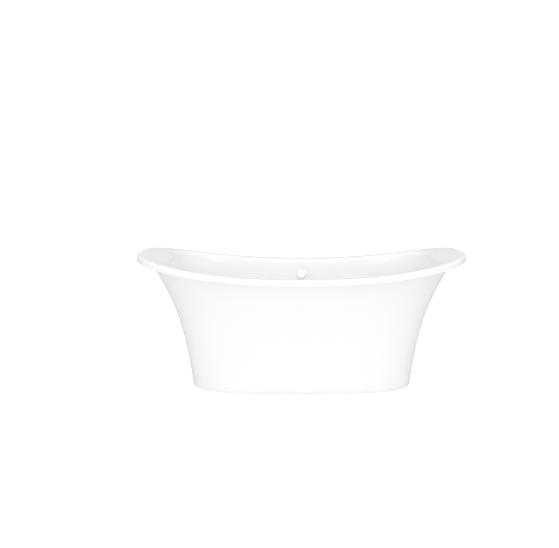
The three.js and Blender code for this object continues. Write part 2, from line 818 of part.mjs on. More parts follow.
function makeTieScrew() {
  const face = blockInnerY - seatGap - bracketThickness - seatGap;
  const screw = turned([
    [0, -tieScrewHeadHeight], [tieScrewHeadFlat, -tieScrewHeadHeight], [tieScrewHeadRadius, 0],
    [tieScrewRadius, 0], [tieScrewRadius, tieScrewLength - tieScrewPoint], [0, tieScrewLength],
  ], smallestSegments);
  return screw.rotateX(-Math.PI / 2).translate(tieX, face, tieHeight);
}

// The four ties mirror each other. A mirrored piece has its faces turned back outwards by tidy.
for (const corner of corners) {
  const mirror = new THREE.Matrix4().makeScale(corner.sideSign, corner.faceSign, 1);
  addPiece(`skirt_block_${corner.name}`, tidy(makeBlock()).applyMatrix4(mirror), timber);
  addPiece(`skirt_bracket_${corner.name}`, tidy(makeBracket()).applyMatrix4(mirror), steel);
  addPiece(`tie_screw_${corner.name}`, tidy(makeTieScrew()).applyMatrix4(mirror), steel);
}

// ---------------------------------------------------------------------------------------------------------------
// Drain: flange with its cross arms, gaskets, click-clack cartridge and plug
// ---------------------------------------------------------------------------------------------------------------

const flangeUnderside = dishHeight + seatGap + gasketThickness + seatGap;
const flangeTop = flangeUnderside + drainFlangeThickness;
const drainBore = drainTubeRadius - drainTubeWall;
const drainMouth = drainBore + drainMouthWidth;
const tubeBottom = flangeUnderside - drainTubeLength;
const spiderTop = flangeTop - spiderDepth;
const spiderBottom = spiderTop - spiderHeight;

function makeDrainFlange() {
  const body = turned([
    [drainBore, tubeBottom], [drainTubeRadius, tubeBottom], [drainTubeRadius, flangeUnderside],
    [drainFlangeRadius, flangeUnderside], [drainFlangeRadius, flangeUnderside + drainFlangeEdge],
    [drainFlangeRadius - drainFlangeBevel, flangeTop], [drainMouth, flangeTop],
    [drainBore, flangeTop - drainMouthDepth], [drainBore, tubeBottom],
  ]);
  const armLength = 2 * drainBore + drainTubeWall;
  const arms = [0, 1, 2].map((turn) => box(armLength, spiderArmWidth, spiderBottom, spiderTop)
    .rotateZ(turn * Math.PI / 3));
  const hubBottom = spiderBottom - spiderHubDrop;
  const hub = rod(spiderHubRadius, hubBottom, spiderTop);
  const thread = rod(barrelSpigotRadius + seatGap, hubBottom - overlap, spiderTop + overlap, boreSegments);
  return carve([body, hub, ...arms], [thread]);
}

const gasketInner = drainTubeRadius + threadGap;
const underGasketTop = dishHeight - basinWall - seatGap;
const underGasketBottom = underGasketTop - underGasketThickness;
addPiece('drain_flange', makeDrainFlange(), chrome);
addPiece(
  'drain_top_gasket',
  ringTube(drainFlangeRadius - gasketSetback, gasketInner, dishHeight + seatGap, flangeUnderside - seatGap),
  rubber,
);
addPiece(
  'drain_under_gasket',
  ringTube(wasteFlangeRadius - gasketSetback, gasketInner, underGasketBottom, underGasketTop),
  rubber,
);

const barrelBottom = spiderTop + seatGap;
const barrelTop = barrelBottom + barrelLength;
const barrelBore = barrelRadius - barrelWall;
const lipUnderside = barrelTop - barrelLip;
const collarTop = lipUnderside - collarTopMargin - plugRise;
const collarBottom = collarTop - collarHeight;
const springSeat = barrelBottom + barrelWall;

function makeBarrel() {
  const spigotBottom = spiderBottom - barrelSpigotProud;
  return turned([
    [0, spigotBottom], [barrelSpigotRadius, spigotBottom], [barrelSpigotRadius, barrelBottom],
    [barrelRadius, barrelBottom], [barrelRadius, barrelTop], [stemRadius + threadGap, barrelTop],
    [stemRadius + threadGap, lipUnderside], [barrelBore, lipUnderside], [barrelBore, springSeat],
    [0, springSeat],
  ], bossSegments);
}

const sealBottom = flangeTop + seatGap;
const capUnderside = sealBottom + plugSealThickness + seatGap;
const bossBottom = capUnderside - plugBossLength;
const stemTop = capUnderside + plugCapThickness - stemTopCover;

function makeStem() {
  const collar = barrelBore - threadGap;
  const guide = stemRadius - stemGuideStep;
  const guideBottom = collarBottom - stemGuideLength;
  return turned([
    [0, guideBottom], [guide, guideBottom], [guide, collarBottom], [collar, collarBottom],
    [collar, collarTop], [stemRadius, collarTop], [stemRadius, stemTop], [0, stemTop],
  ], bossSegments);
}

function makeCap() {
  const socket = stemRadius + seatGap;
  const rim = capUnderside + plugCapThickness;
  const crown = new THREE.QuadraticBezierCurve(
    vector(plugCapRadius - plugCapEdge, rim),
    vector(plugCapRadius / 2, rim + plugDome),
    vector(0, rim + plugDome),
  ).getPoints(4).map((point) => [point.x, point.y]);
  return turned([
    [0, stemTop + seatGap], [socket, stemTop + seatGap], [socket, bossBottom],
    [plugBossRadius, bossBottom], [plugBossRadius, capUnderside], [plugCapRadius, capUnderside],
    [plugCapRadius, rim - plugCapEdge], ...crown,
  ], capSegments);
}

class Helix extends THREE.Curve {
  constructor(radius, low, high, turns) {
    super();
    Object.assign(this, { radius, low, high, turns });
  }

  getPoint(share, target = new THREE.Vector3()) {
    const angle = share * this.turns * 2 * Math.PI;
    const height = mix(this.low, this.high, share);
    return target.set(this.radius * Math.cos(angle), this.radius * Math.sin(angle), height);
  }
}

function makeSpring() {
  const coil = barrelBore - threadGap - springWire;
  const low = springSeat + seatGap + springWire;
  const high = collarBottom - seatGap - springWire;
  const wire = new THREE.Shape().absarc(0, 0, springWire, 0, 2 * Math.PI);
  return new THREE.ExtrudeGeometry(wire, {
    steps: springTurns * springSteps,
    curveSegments: wireSegments,
    bevelEnabled: false,
    extrudePath: new Helix(coil, low, high, springTurns),
  });
}

const sealInner = drainMouth + plugSealMargin;
const plugSeal = ringTube(sealInner + plugSealWidth, sealInner, sealBottom, sealBottom + plugSealThickness);
addPiece('plug_barrel', makeBarrel(), springSteel);
addPiece('plug_spring', makeSpring(), springSteel);
addPiece('plug_stem', makeStem(), springSteel);
addPiece('plug_cap', makeCap(), chrome);
addPiece('plug_seal', plugSeal, rubber);

// ---------------------------------------------------------------------------------------------------------------
// Waste body with a side port for the overflow, and its tail
// ---------------------------------------------------------------------------------------------------------------

const wasteTop = underGasketBottom - seatGap;
const wasteBottom = wasteTop - wasteDrop;
const portHeight = wasteTop - portDrop;
const wasteBore = drainTubeRadius + threadGap;

function makeWasteBody() {
  const shoulder = wasteBottom + wasteOutletLength;
  const body = turned([
    [wasteOutletBore, wasteBottom], [wasteOutletRadius, wasteBottom], [wasteOutletRadius, shoulder],
    [wasteRadius, shoulder + wasteTaper], [wasteRadius, wasteTop - wasteFlangeThickness],
    [wasteFlangeRadius, wasteTop - wasteFlangeThickness], [wasteFlangeRadius, wasteTop],
    [wasteBore, wasteTop], [wasteBore, shoulder + wasteInnerTaperHigh],
    [wasteOutletBore, shoulder + wasteInnerTaperLow], [wasteOutletBore, wasteBottom],
  ]);
  const port = rod(portRadius, wasteBore + overlap, portReach, boreSegments);
  const bore = rod(portBore, 0, portReach + overlap, boreSegments);
  for (const piece of [port, bore]) piece.rotateX(-Math.PI / 2).translate(0, 0, portHeight);
  return carve([body, port], [bore]);
}

function makeTail() {
  const top = wasteBottom - seatGap;
  const inner = tailRadius - tailWall;
  return turned([
    [inner, top - tailLength], [tailRadius, top - tailLength], [tailRadius, top - tailCollar],
    [wasteOutletRadius, top - tailCollar], [wasteOutletRadius, top], [inner, top], [inner, top - tailLength],
  ]);
}

function makeTailNut() {
  const top = wasteBottom + tailNutLength / 2;
  const ledge = wasteBottom - seatGap - tailCollar - seatGap;
  const low = ledge - tailNutFloor;
  const outer = rod(tailNutRadius, low, top, bossSegments);
  const overOutlet = rod(wasteOutletRadius + threadGap, ledge, top + overlap, roundSegments);
  const overTail = rod(tailRadius + threadGap, low - overlap, ledge + overlap, roundSegments);
  return carve([outer], [overOutlet, overTail]);
}

addPiece('waste_body', makeWasteBody(), wastePlastic);
addPiece('tail_pipe', makeTail(), wastePlastic);
addPiece('tail_nut', makeTailNut(), wastePlastic);

// ---------------------------------------------------------------------------------------------------------------
// Overflow: faceplate and cover inside the bath, gasket and elbow behind the wall, one screw through them
// ---------------------------------------------------------------------------------------------------------------

const faceplateRadius = coverRadius - coverWall - seatGap;
const faceplateLow = seatGap;
const faceplateHigh = faceplateLow + faceplateThickness;
const elbowFront = -basinWall - seatGap - overflowGasketThickness - seatGap;
const elbowBack = elbowFront - elbowDepth;
const outletAxis = elbowFront - elbowOutletDepth;

function makeFaceplate() {
  const neck = overflowHoleRadius - threadGap;
  const neckInner = neck - faceplateNeckWall;
  const neckEnd = faceplateNeckShort - basinWall;
  const ring = turned([
    [neckInner, neckEnd], [neck, neckEnd], [neck, faceplateLow], [faceplateRadius, faceplateLow],
    [faceplateRadius, faceplateHigh], [neckInner, faceplateHigh], [neckInner, neckEnd],
  ]);
  const armLength = 2 * neckInner + faceplateNeckWall;
  const arms = [0, 1].map((turn) => box(armLength, faceplateArmWidth, -faceplateArmDepth, faceplateHigh)
    .rotateZ(turn * Math.PI / 2));
  const hub = rod(faceplateHubRadius, -faceplateHubDepth, faceplateHigh);
  const holeLow = -faceplateHubDepth - overlap;
  const hole = rod(overflowScrewRadius + seatGap, holeLow, faceplateHigh + overlap, boreSegments);
  return carve([ring, hub, ...arms], [hole]);
}

function makeCover() {
  const front = faceplateLow + coverDepth;
  const inner = coverRadius - coverWall;
  const dome = new THREE.CubicBezierCurve(
    vector(coverRadius, front - coverEdgeRound), vector(coverRadius, front),
    vector(coverRadius * coverCrownShare, front + coverDome), vector(0, front + coverDome),
  ).getPoints(5).map((point) => [point.x, point.y]);
  const back = front - coverWall;
  const cup = turned([
    [0, back], [inner - coverInnerBevel, back], [inner, back - coverInnerBevel],
    [inner, faceplateLow], [coverRadius, faceplateLow], ...dome,
  ]);
  const halfWidth = coverRadius * Math.sin(coverNotchAngle);
  const notch = box(2 * halfWidth, coverRadius, -overlap, faceplateLow + coverNotchDepth);
  return carve([cup], [notch.translate(0, -coverRadius, 0)]);
}

function makeElbow() {
  const inner = elbowRadius - elbowWall;
  const flange = rod(elbowFlangeRadius, elbowFront - elbowFlangeThickness, elbowFront, roundSegments);
  const chamber = rod(elbowRadius, elbowBack, elbowFront - overlap, roundSegments);
  const hollow = rod(inner, elbowBack + elbowWall, elbowFront + overlap, roundSegments);
  const outlet = rod(portRadius, inner - overlap, elbowOutlet, boreSegments);
  const bore = rod(portBore, inner - 2 * elbowWall, elbowOutlet + overlap, boreSegments);
  for (const piece of [outlet, bore]) piece.rotateX(Math.PI / 2).translate(0, 0, outletAxis);
  const post = rod(overflowScrewRadius + elbowPostWall, elbowBack, elbowFront - elbowPostSetback);
  const thread = rod(overflowScrewRadius + seatGap, elbowBack + elbowWall, elbowFront, boreSegments);
  const shell = carve([flange, chamber, outlet], [hollow, bore]);
  return carve([shell, post], [thread]);
}

function makeOverflowScrew() {
  const head = faceplateHigh + seatGap;
  const point = head - overflowScrewLength;
  return turned([
    [0, point], [overflowScrewRadius, point], [overflowScrewRadius, head], [screwHeadRadius, head],
    [screwHeadRadius, head + screwHeadHeight - screwHeadBevel],
    [screwHeadRadius - screwHeadBevel, head + screwHeadHeight], [0, head + screwHeadHeight],
  ]);
}

addPiece('overflow_faceplate', makeFaceplate(), chrome, overflow);
addPiece('overflow_cover', makeCover(), chrome, overflow);
addPiece('overflow_screw', makeOverflowScrew(), steel, overflow);
addPiece(
  'overflow_gasket',
  ringTube(elbowFlangeRadius, overflowHoleRadius + gasketSetback, elbowFront + seatGap, -basinWall - seatGap),
  rubber,
  overflow,
);
addPiece('overflow_elbow', makeElbow(), wastePlastic, overflow);
bath.add(overflow);

// ---------------------------------------------------------------------------------------------------------------
// Overflow hose: down the cavity between basin and skirt, then under the frame to the waste body
// ---------------------------------------------------------------------------------------------------------------

const hoseStart = overflow.localToWorld(new THREE.Vector3(0, -elbowOutlet - seatGap, outletAxis));
const hoseStartWay = new THREE.Vector3(0, -Math.sin(wallLean), -Math.cos(wallLean));
const hoseEnd = new THREE.Vector3(0, portReach + seatGap, portHeight);
const hoseEndWay = new THREE.Vector3(0, -1, 0);

function cavityMiddle(height) {
  const basinDry = sideWallY(height) + basinWall / Math.cos(wallLean);
  return new THREE.Vector3(0, (basinDry + skirtInnerY(0, height)) / 2, height);
}

function hosePath() {
  const turnStart = cavityMiddle(hoseTurnTop);
  const fall = hoseTurnTop - portHeight;
  const bend = [30, 60, 90].map((degrees) => {
    const angle = THREE.MathUtils.degToRad(degrees);
    const y = turnStart.y - hoseTurnReach * (1 - Math.cos(angle));
    return new THREE.Vector3(0, y, hoseTurnTop - fall * Math.sin(angle));
  });
  const lead = 2 * hoseNutGrip;
  return new THREE.CatmullRomCurve3([
    hoseStart,
    hoseStart.clone().addScaledVector(hoseStartWay, lead / 2),
    hoseStart.clone().addScaledVector(hoseStartWay, lead),
    cavityMiddle(mix(hoseStart.z, hoseTurnTop, 0.4)),
    cavityMiddle(mix(hoseStart.z, hoseTurnTop, 0.7)),
    turnStart,
    ...bend,
    hoseEnd.clone().addScaledVector(hoseEndWay, -lead),
    hoseEnd.clone().addScaledVector(hoseEndWay, -lead / 2),
    hoseEnd,
  ], false, 'centripetal');
}

// A ribbed tube: crests and grooves outside, plain inside.
function makeHose(path) {
  const ribs = Math.round(path.getLength() / hoseRibPitch);
  const stops = 2 * ribs;
  const frames = path.computeFrenetFrames(stops, false);
  const circle = (stop, radius) => Array.from({ length: hoseSides }, (_, i) => {
    const angle = (i / hoseSides) * 2 * Math.PI;
    return path.getPointAt(stop / stops)
      .addScaledVector(frames.normals[stop], radius * Math.cos(angle))
      .addScaledVector(frames.binormals[stop], radius * Math.sin(angle));
  });
  const rows = [];
  for (let rib = 0; rib < ribs; rib++) {
    rows.push(circle(2 * rib, hoseRadius), circle(2 * rib + 1, hoseRadius - hoseGroove));
  }
  rows.push(circle(stops, hoseRadius));
  const inner = hoseRadius - hoseGroove - hoseWall;
  for (let stop = stops; stop > 0; stop -= hoseInnerStride) rows.push(circle(stop, inner));
  rows.push(circle(0, inner));
  return closedGrid(rows);
}

// The nut's own +Z runs from the port towards the hose. Its zero is at the joint between them.
function makeHoseNut(name, joint, way) {
  const overPort = portRadius + seatGap;
  const overHose = hoseRadius + threadGap;
  const nut = turned([
    [overPort, -hoseNutGrip], [hoseNutRadius, -hoseNutGrip], [hoseNutRadius, hoseNutGrip - hoseNutBevel],
    [hoseNutRadius - hoseNutBevel / 2, hoseNutGrip], [overHose, hoseNutGrip], [overHose, 0], [overPort, 0],
    [overPort, -hoseNutGrip],
  ], boreSegments);
  const piece = addPiece(name, nut, wastePlastic);
  piece.position.copy(joint);
  piece.quaternion.setFromUnitVectors(new THREE.Vector3(0, 0, 1), way);
}

addPiece('overflow_hose', makeHose(hosePath()), hosePlastic);
makeHoseNut('hose_nut_top', hoseStart, hoseStartWay);
makeHoseNut('hose_nut_bottom', hoseEnd, hoseEndWay.clone().negate());

export default bath;
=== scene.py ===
# %% [markdown]
# # A freestanding slipper bath
#
# The bath is two large mouldings bonded together at the rim: a basin that holds the water, and a skirt that
# hides the frame, the feet and the pipes. Both are swept round the same rounded rectangle, so most of this
# lesson is about one idea: a closed ring of points that is extruded from level to level.
#
# Everything is in metres. +X runs along the bath, +Y points to the overflow, and the floor is at zero.

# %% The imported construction
import json
import math
from collections import namedtuple

import bmesh
import bpy
from mathutils import Matrix, Vector, geometry


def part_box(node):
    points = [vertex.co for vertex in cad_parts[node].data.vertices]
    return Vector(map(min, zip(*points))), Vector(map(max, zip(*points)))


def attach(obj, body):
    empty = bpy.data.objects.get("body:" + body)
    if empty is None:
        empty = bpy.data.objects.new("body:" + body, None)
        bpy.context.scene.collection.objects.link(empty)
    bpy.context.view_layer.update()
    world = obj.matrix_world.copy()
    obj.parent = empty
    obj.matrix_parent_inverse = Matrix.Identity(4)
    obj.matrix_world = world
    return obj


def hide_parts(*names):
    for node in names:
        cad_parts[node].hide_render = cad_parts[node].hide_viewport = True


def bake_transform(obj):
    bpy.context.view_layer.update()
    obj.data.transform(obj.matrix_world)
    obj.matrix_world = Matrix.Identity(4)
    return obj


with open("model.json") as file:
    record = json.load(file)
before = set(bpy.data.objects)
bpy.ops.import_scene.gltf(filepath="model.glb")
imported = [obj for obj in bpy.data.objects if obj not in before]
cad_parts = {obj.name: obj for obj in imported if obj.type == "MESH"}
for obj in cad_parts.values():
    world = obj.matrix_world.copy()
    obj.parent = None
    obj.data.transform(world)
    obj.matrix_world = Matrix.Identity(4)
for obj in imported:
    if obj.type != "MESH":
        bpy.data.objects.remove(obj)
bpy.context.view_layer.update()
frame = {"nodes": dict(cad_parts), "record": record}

nodes = frame["nodes"]

# %% [markdown]
# ## The camera
#
# The bath is seen from the front, a little above its rim, from three metres away. A small sideways shift puts
# it right of the middle, which keeps the view square to the bath. Turning the camera would not.

# %% Camera
CAMERA_DISTANCE = 3.0
CAMERA_HEIGHT = 1.137
CAMERA_DIP = math.radians(10.05)
LENS_MM = 34.45
SIDE_SHIFT = -0.0393

camera_data = bpy.data.cameras.new("front_camera")
camera_data.lens = LENS_MM
camera_data.sensor_width = 36
camera_data.shift_x = SIDE_SHIFT
camera = bpy.data.objects.new("front_camera", camera_data)
camera.location = (0, -CAMERA_DISTANCE, CAMERA_HEIGHT)
camera.rotation_euler = (math.pi / 2 - CAMERA_DIP, 0, 0)
bpy.context.scene.collection.objects.link(camera)
bpy.context.scene.camera = camera
print("camera at", tuple(camera.location))

# %% [markdown]
# ## Small tools
#
# A finished piece is a mesh object that stands in for one construction node. It rides on the node's body and
# takes the node's material slot, so both are looked up in the frame and not written twice. Smooth shading is
# cut by angle, so that a moulded edge stays crisp where the real one is.

# %% Turning a bmesh into a piece
SMOOTH_ANGLE = math.radians(35)
CORNERS = {"front_left": (-1, -1), "front_right": (1, -1), "back_left": (-1, 1), "back_right": (1, 1)}
node_body = {node: body for body, members in frame["record"]["behaviour"]["bodies"].items() for node in members}
node_slot = {entry["node"]: entry["material_slot"] for entry in frame["record"]["subparts"]}
finishes = {}


def new_object(bm, name):
    """Links a new object that holds the bmesh."""
    mesh = bpy.data.meshes.new(name)
    bm.to_mesh(mesh)
    bm.free()
    thing = bpy.data.objects.new(name, mesh)
    bpy.context.scene.collection.objects.link(thing)
    return thing


def finish_piece(bm, node, material=None, rides=True, flats=True):
    """Makes an object of the bmesh, in place of a node of the construction. flats says that it has flat faces
    between rounded edges, whose normals are weighted so that they look flat."""
    piece = new_object(bm, node + "_fine")
    piece.data.shade_smooth()
    piece.data.set_sharp_from_angle(angle=SMOOTH_ANGLE)
    piece.data.materials.append(material or finishes[node_slot[node]])
    if flats:
        piece.modifiers.new("flat_faces", "WEIGHTED_NORMAL").keep_sharp = True
    if rides:
        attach(piece, node_body[node])
    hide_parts(node)
    print(piece.name, len(piece.data.polygons), "faces")
    return piece


print("material slots:", ", ".join(sorted(set(node_slot.values()))))


# %% [markdown]
# Holes, ports and arms are cut and joined with Booleans while a shape is still a bmesh. Blender's Boolean is a
# modifier, so the two shapes become objects for a moment, and the result comes back as a bmesh.

# %% Cutting and joining
WELD = 5e-6


def boolean(bm, tool_bm, operation):
    """DIFFERENCE cuts the tool away, UNION joins it, INTERSECT keeps what both share."""
    body, tool = new_object(bm, "body"), new_object(tool_bm, "tool")
    modifier = body.modifiers.new("boolean", "BOOLEAN")
    modifier.operation = operation
    modifier.solver = "EXACT"
    modifier.object = tool
    mesh = bpy.data.meshes.new_from_object(body.evaluated_get(bpy.context.evaluated_depsgraph_get()))
    result = bmesh.new()
    result.from_mesh(mesh)
    bmesh.ops.remove_doubles(result, verts=result.verts, dist=WELD)
    bmesh.ops.dissolve_degenerate(result, edges=result.edges, dist=WELD)
    for data in (body.data, tool.data, mesh):
        bpy.data.meshes.remove(data)
    return result


def moved(bm, matrix):
    """The bmesh after a move, a turn or a reflection."""
    bmesh.ops.transform(bm, matrix=matrix, verts=bm.verts)
    if matrix.determinant() < 0:
        bmesh.ops.reverse_faces(bm, faces=bm.faces)
    return bm


print("cut surfaces are welded within", WELD, "m")


# %% [markdown]
# ## Finishes
#
# Each finish is a Principled surface with the small unevenness that the real stuff has: the faint waviness of a
# vacuum-formed sheet, the grain of moulded plastic, the crystals of zinc. The patterns read Object coordinates,
# which are metres, so a scale of 100 repeats about every centimetre.

# %% A surface with a procedural pattern
def new_surface(name, color, roughness, metallic=0.0):
    """A material with a Principled shader, and its node tree."""
    material = bpy.data.materials.new(name)
    material.use_nodes = True
    shader = material.node_tree.nodes["Principled BSDF"]
    shader.inputs["Base Color"].default_value = (*color, 1)
    shader.inputs["Roughness"].default_value = roughness
    shader.inputs["Metallic"].default_value = metallic
    return material


def pattern(material, kind, scale, stretch=(1, 1, 1), **values):
    """A texture node on Object coordinates."""
    tree = material.node_tree
    place = tree.nodes.new("ShaderNodeTexCoord")
    mapping = tree.nodes.new("ShaderNodeMapping")
    mapping.inputs["Scale"].default_value = stretch
    texture = tree.nodes.new(kind)
    texture.inputs["Scale"].default_value = scale
    for name, value in values.items():
        texture.inputs[name.replace("_", " ")].default_value = value
    tree.links.new(place.outputs["Object"], mapping.inputs["Vector"])
    tree.links.new(mapping.outputs["Vector"], texture.inputs["Vector"])
    return texture


def bump_with(material, texture, height, output=0):
    """Raises the surface by a pattern. The height is in metres."""
    tree = material.node_tree
    bump = tree.nodes.new("ShaderNodeBump")
    bump.inputs["Strength"].default_value = 1
    bump.inputs["Distance"].default_value = height
    tree.links.new(texture.outputs[output], bump.inputs["Height"])
    tree.links.new(bump.outputs["Normal"], tree.nodes["Principled BSDF"].inputs["Normal"])
    return bump


def vary(material, texture, target, low, high, output=0):
    """Spreads a pattern between two values or two colours of a shader socket."""
    tree = material.node_tree
    if isinstance(low, tuple):
        blend = tree.nodes.new("ShaderNodeMix")
        blend.data_type = "RGBA"
        colour_a, colour_b = [socket for socket in blend.inputs if socket.type == "RGBA"]
        colour_a.default_value, colour_b.default_value = (*low, 1), (*high, 1)
        tree.links.new(texture.outputs[output], blend.inputs["Factor"])
        result = next(socket for socket in blend.outputs if socket.type == "RGBA")
    else:
        span = tree.nodes.new("ShaderNodeMapRange")
        span.inputs["To Min"].default_value = low
        span.inputs["To Max"].default_value = high
        tree.links.new(texture.outputs[output], span.inputs["Value"])
        result = span.outputs["Result"]
    tree.links.new(result, tree.nodes["Principled BSDF"].inputs[target])


print("patterns read Object coordinates, in metres")

# %% [markdown]
# Acrylic sheet is white right through and glossy. The basin is polished more than the skirt, and the waviness
# is only tenths of a millimetre over a hand's width, so it shows in reflections alone.

# %% Gloss acrylic
def make_acrylic(name, roughness):
    """White sheet acrylic, formed hot over a mould, which leaves it very slightly wavy."""
    material = new_surface(name, (0.85, 0.85, 0.85), roughness)
    waves = pattern(material, "ShaderNodeTexNoise", scale=9, Detail=1.0)
    bump_with(material, waves, height=0.0004)
    haze = pattern(material, "ShaderNodeTexNoise", scale=40, Detail=2.0)
    vary(material, haze, "Roughness", roughness * 0.8, roughness * 1.25)
    return material


basin_acrylic = make_acrylic("basin_acrylic", roughness=0.09)
finishes["acrylic_white"] = make_acrylic("skirt_acrylic", roughness=0.14)
print("acrylic for", finishes["acrylic_white"].name)

# %% [markdown]
# The metals differ in colour and in how their gloss is broken: polishing swirls on chrome, fine turning marks on
# stainless steel, and crystals on zinc, which come from a Voronoi pattern with one grey for each cell.

# %% Metals
def make_chrome(name, sharpest, dullest):
    """Chrome plate over a cast body, with a trace of polishing swirl."""
    material = new_surface(name, (0.95, 0.955, 0.96), sharpest, metallic=1)
    swirl = pattern(material, "ShaderNodeTexNoise", scale=300, Detail=3.0)
    vary(material, swirl, "Roughness", sharpest, dullest)
    return material


def make_stainless():
    """Turned stainless steel, with fine marks round and along it."""
    material = new_surface("stainless_steel", (0.62, 0.63, 0.64), 0.28, metallic=1)
    marks = pattern(material, "ShaderNodeTexNoise", scale=900, stretch=(1, 1, 0.15), Detail=4.0)
    vary(material, marks, "Roughness", 0.2, 0.42)
    bump_with(material, marks, height=0.00003)
    return material


def make_galvanised():
    """Zinc-plated steel: flat crystals of slightly different greys, dulled here and there."""
    material = new_surface("galvanised_steel", (0.55, 0.57, 0.58), 0.4, metallic=1)
    crystals = pattern(material, "ShaderNodeTexVoronoi", scale=140, stretch=(1, 1, 1.6), Randomness=1.0)
    vary(material, crystals, "Base Color", (0.40, 0.42, 0.44), (0.70, 0.72, 0.73), output=1)
    dulling = pattern(material, "ShaderNodeTexNoise", scale=30, Detail=4.0)
    vary(material, dulling, "Roughness", 0.28, 0.55)
    bump_with(material, crystals, height=0.00005)
    return material


satin_chrome = make_chrome("satin_chrome", sharpest=0.44, dullest=0.50)
finishes["polished_chrome"] = make_chrome("polished_chrome", sharpest=0.03, dullest=0.08)
finishes["stainless_steel"] = make_stainless()
finishes["galvanised_steel"] = make_galvanised()
print(len(finishes), "finishes so far")

# %% [markdown]
# Plastics, rubber and the adhesive are moulded or cast, so one recipe serves them all: two close colours mottled
# together, and a grain that is coarse on the adhesive and very fine on the waste.

# %% Plastics, rubber and adhesive
def make_moulded(name, color, deep_color, roughness, grain_height):
    """A moulded or cast material: mottled a little in colour, with a fine grain on its surface."""
    material = new_surface(name, color, roughness)
    mottle = pattern(material, "ShaderNodeTexNoise", scale=60, Detail=3.0)
    vary(material, mottle, "Base Color", deep_color, color)
    grain = pattern(material, "ShaderNodeTexNoise", scale=1500, Detail=2.0)
    vary(material, grain, "Roughness", roughness * 0.85, min(roughness * 1.2, 1))
    bump_with(material, grain, grain_height)
    return material


for name, color, deep_color, roughness, grain_height in (
        ("waste_plastic", (0.85, 0.85, 0.84), (0.80, 0.80, 0.79), 0.35, 0.00002),
        ("hose_plastic", (0.66, 0.67, 0.67), (0.60, 0.61, 0.61), 0.45, 0.00003),
        ("foot_plastic", (0.05, 0.05, 0.055), (0.035, 0.035, 0.04), 0.5, 0.00006),
        ("seal_rubber", (0.035, 0.035, 0.035), (0.02, 0.02, 0.02), 0.75, 0.00005),
        ("bond_adhesive", (0.82, 0.81, 0.77), (0.74, 0.73, 0.68), 0.6, 0.0004)):
    finishes[name] = make_moulded(name, color, deep_color, roughness, grain_height)
print(len(finishes), "finishes so far")

# %% [markdown]
# Plywood shows long grain on its faces and a stack of plies on its edges. Both patterns are added together: the
# grain is stretched along the board, and the plies are bands by height, which a level face doesn't show.

# %% Plywood
PLY_CONTRAST = 0.45


def make_plywood():
    """Birch plywood: long grain on the faces, and on the edges the plies, one above the other."""
    material = new_surface("plywood", (0.58, 0.43, 0.27), 0.7)
    grain = pattern(material, "ShaderNodeTexNoise", scale=90, stretch=(0.08, 1, 1), Detail=6.0, Distortion=0.4)
    plies = pattern(material, "ShaderNodeTexWave", scale=110, Distortion=0.3, Detail=1.0)
    plies.bands_direction = "Z"
    tree = material.node_tree
    together = tree.nodes.new("ShaderNodeMath")
    together.operation = "MULTIPLY_ADD"
    together.inputs[1].default_value = PLY_CONTRAST
    tree.links.new(plies.outputs["Fac"], together.inputs[0])
    tree.links.new(grain.outputs["Fac"], together.inputs[2])
    vary(material, together, "Base Color", (0.38, 0.26, 0.14), (0.66, 0.50, 0.33))
    bump_with(material, grain, height=0.0002)
    return material


finishes["board_timber"] = make_plywood()
print("finishes:", ", ".join(sorted(finishes)))

# %% [markdown]
# ## Levels
#
# A level is one ring of the moulding. In plan it is a superellipse, which is a rounded rectangle with no
# straight runs, and its height sweeps up from the middle of the long sides to the ends. Two levels differ in
# their half-length, half-width, heights and squareness, and nothing else, so a wall is a list of levels.

# %% One ring of the moulding
basin_low, basin_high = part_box("basin_shell")
RIM_HALF_LENGTH = basin_high.x
RIM_HALF_WIDTH = basin_high.y
RIM_HEIGHT_END = basin_high.z
RIM_HEIGHT_MID = 0.643
RIM_SWEEP = 2.23
RIM_SQUARENESS = 3.1
RING_POINTS = 256

Level = namedtuple("Level", "half_length half_width height_mid height_end squareness")


def mix(a, b, share):
    return a + (b - a) * share


def level_point(level, turn):
    """The place on a level at an angle in plan."""
    cos, sin = math.cos(turn), math.sin(turn)
    power = level.squareness
    reach = (abs(cos) ** power + abs(sin) ** power) ** (-1 / power)
    height = mix(level.height_mid, level.height_end, abs(cos * reach) ** RIM_SWEEP)
    return Vector((level.half_length * cos * reach, level.half_width * sin * reach, height))


def skin(stations, place, points, closed=True):
    """A ring of points is extruded through all the stations. The last ring is joined to the first, or both are
    capped. place(station, turn) says where the point at an angle lies."""
    bm = bmesh.new()
    turn_layer = bm.verts.layers.float.new("turn")
    bmesh.ops.create_circle(bm, segments=points, radius=1)
    for vert in bm.verts:
        vert[turn_layer] = math.atan2(vert.co.y, vert.co.x)
    ring_verts, ring_edges = bm.verts[:], bm.edges[:]
    first_edges = ring_edges
    for station in stations:
        if station is not stations[0]:
            grown = bmesh.ops.extrude_edge_only(bm, edges=ring_edges)["geom"]
            ring_verts = [item for item in grown if isinstance(item, bmesh.types.BMVert)]
            ring = set(ring_verts)
            ring_edges = [item for item in grown
                          if isinstance(item, bmesh.types.BMEdge) and ring.issuperset(item.verts)]
        for vert in ring_verts:
            vert.co = place(station, vert[turn_layer])
    if closed:
        bmesh.ops.bridge_loops(bm, edges=first_edges + ring_edges)
    else:
        for edges in (first_edges, ring_edges):
            bmesh.ops.edgeloop_fill(bm, edges=edges)
    bmesh.ops.recalc_face_normals(bm, faces=bm.faces)
    return bm


def loft(levels):
    return skin(levels, level_point, RING_POINTS)


print("rim", round(2 * RIM_HALF_LENGTH, 3), "by", round(2 * RIM_HALF_WIDTH, 3), "m")

# %% [markdown]
# ## The basin's section
#
# The section is drawn twice, across the middle of the bath and along it, with the same stretches: the dish
# round the drain, the floor, the fillet, the wall, the roll-over, the flat deck and the lip. The levels between
# take a little of both. Bezier stretches keep the wall smooth where a backrest meets the rim.

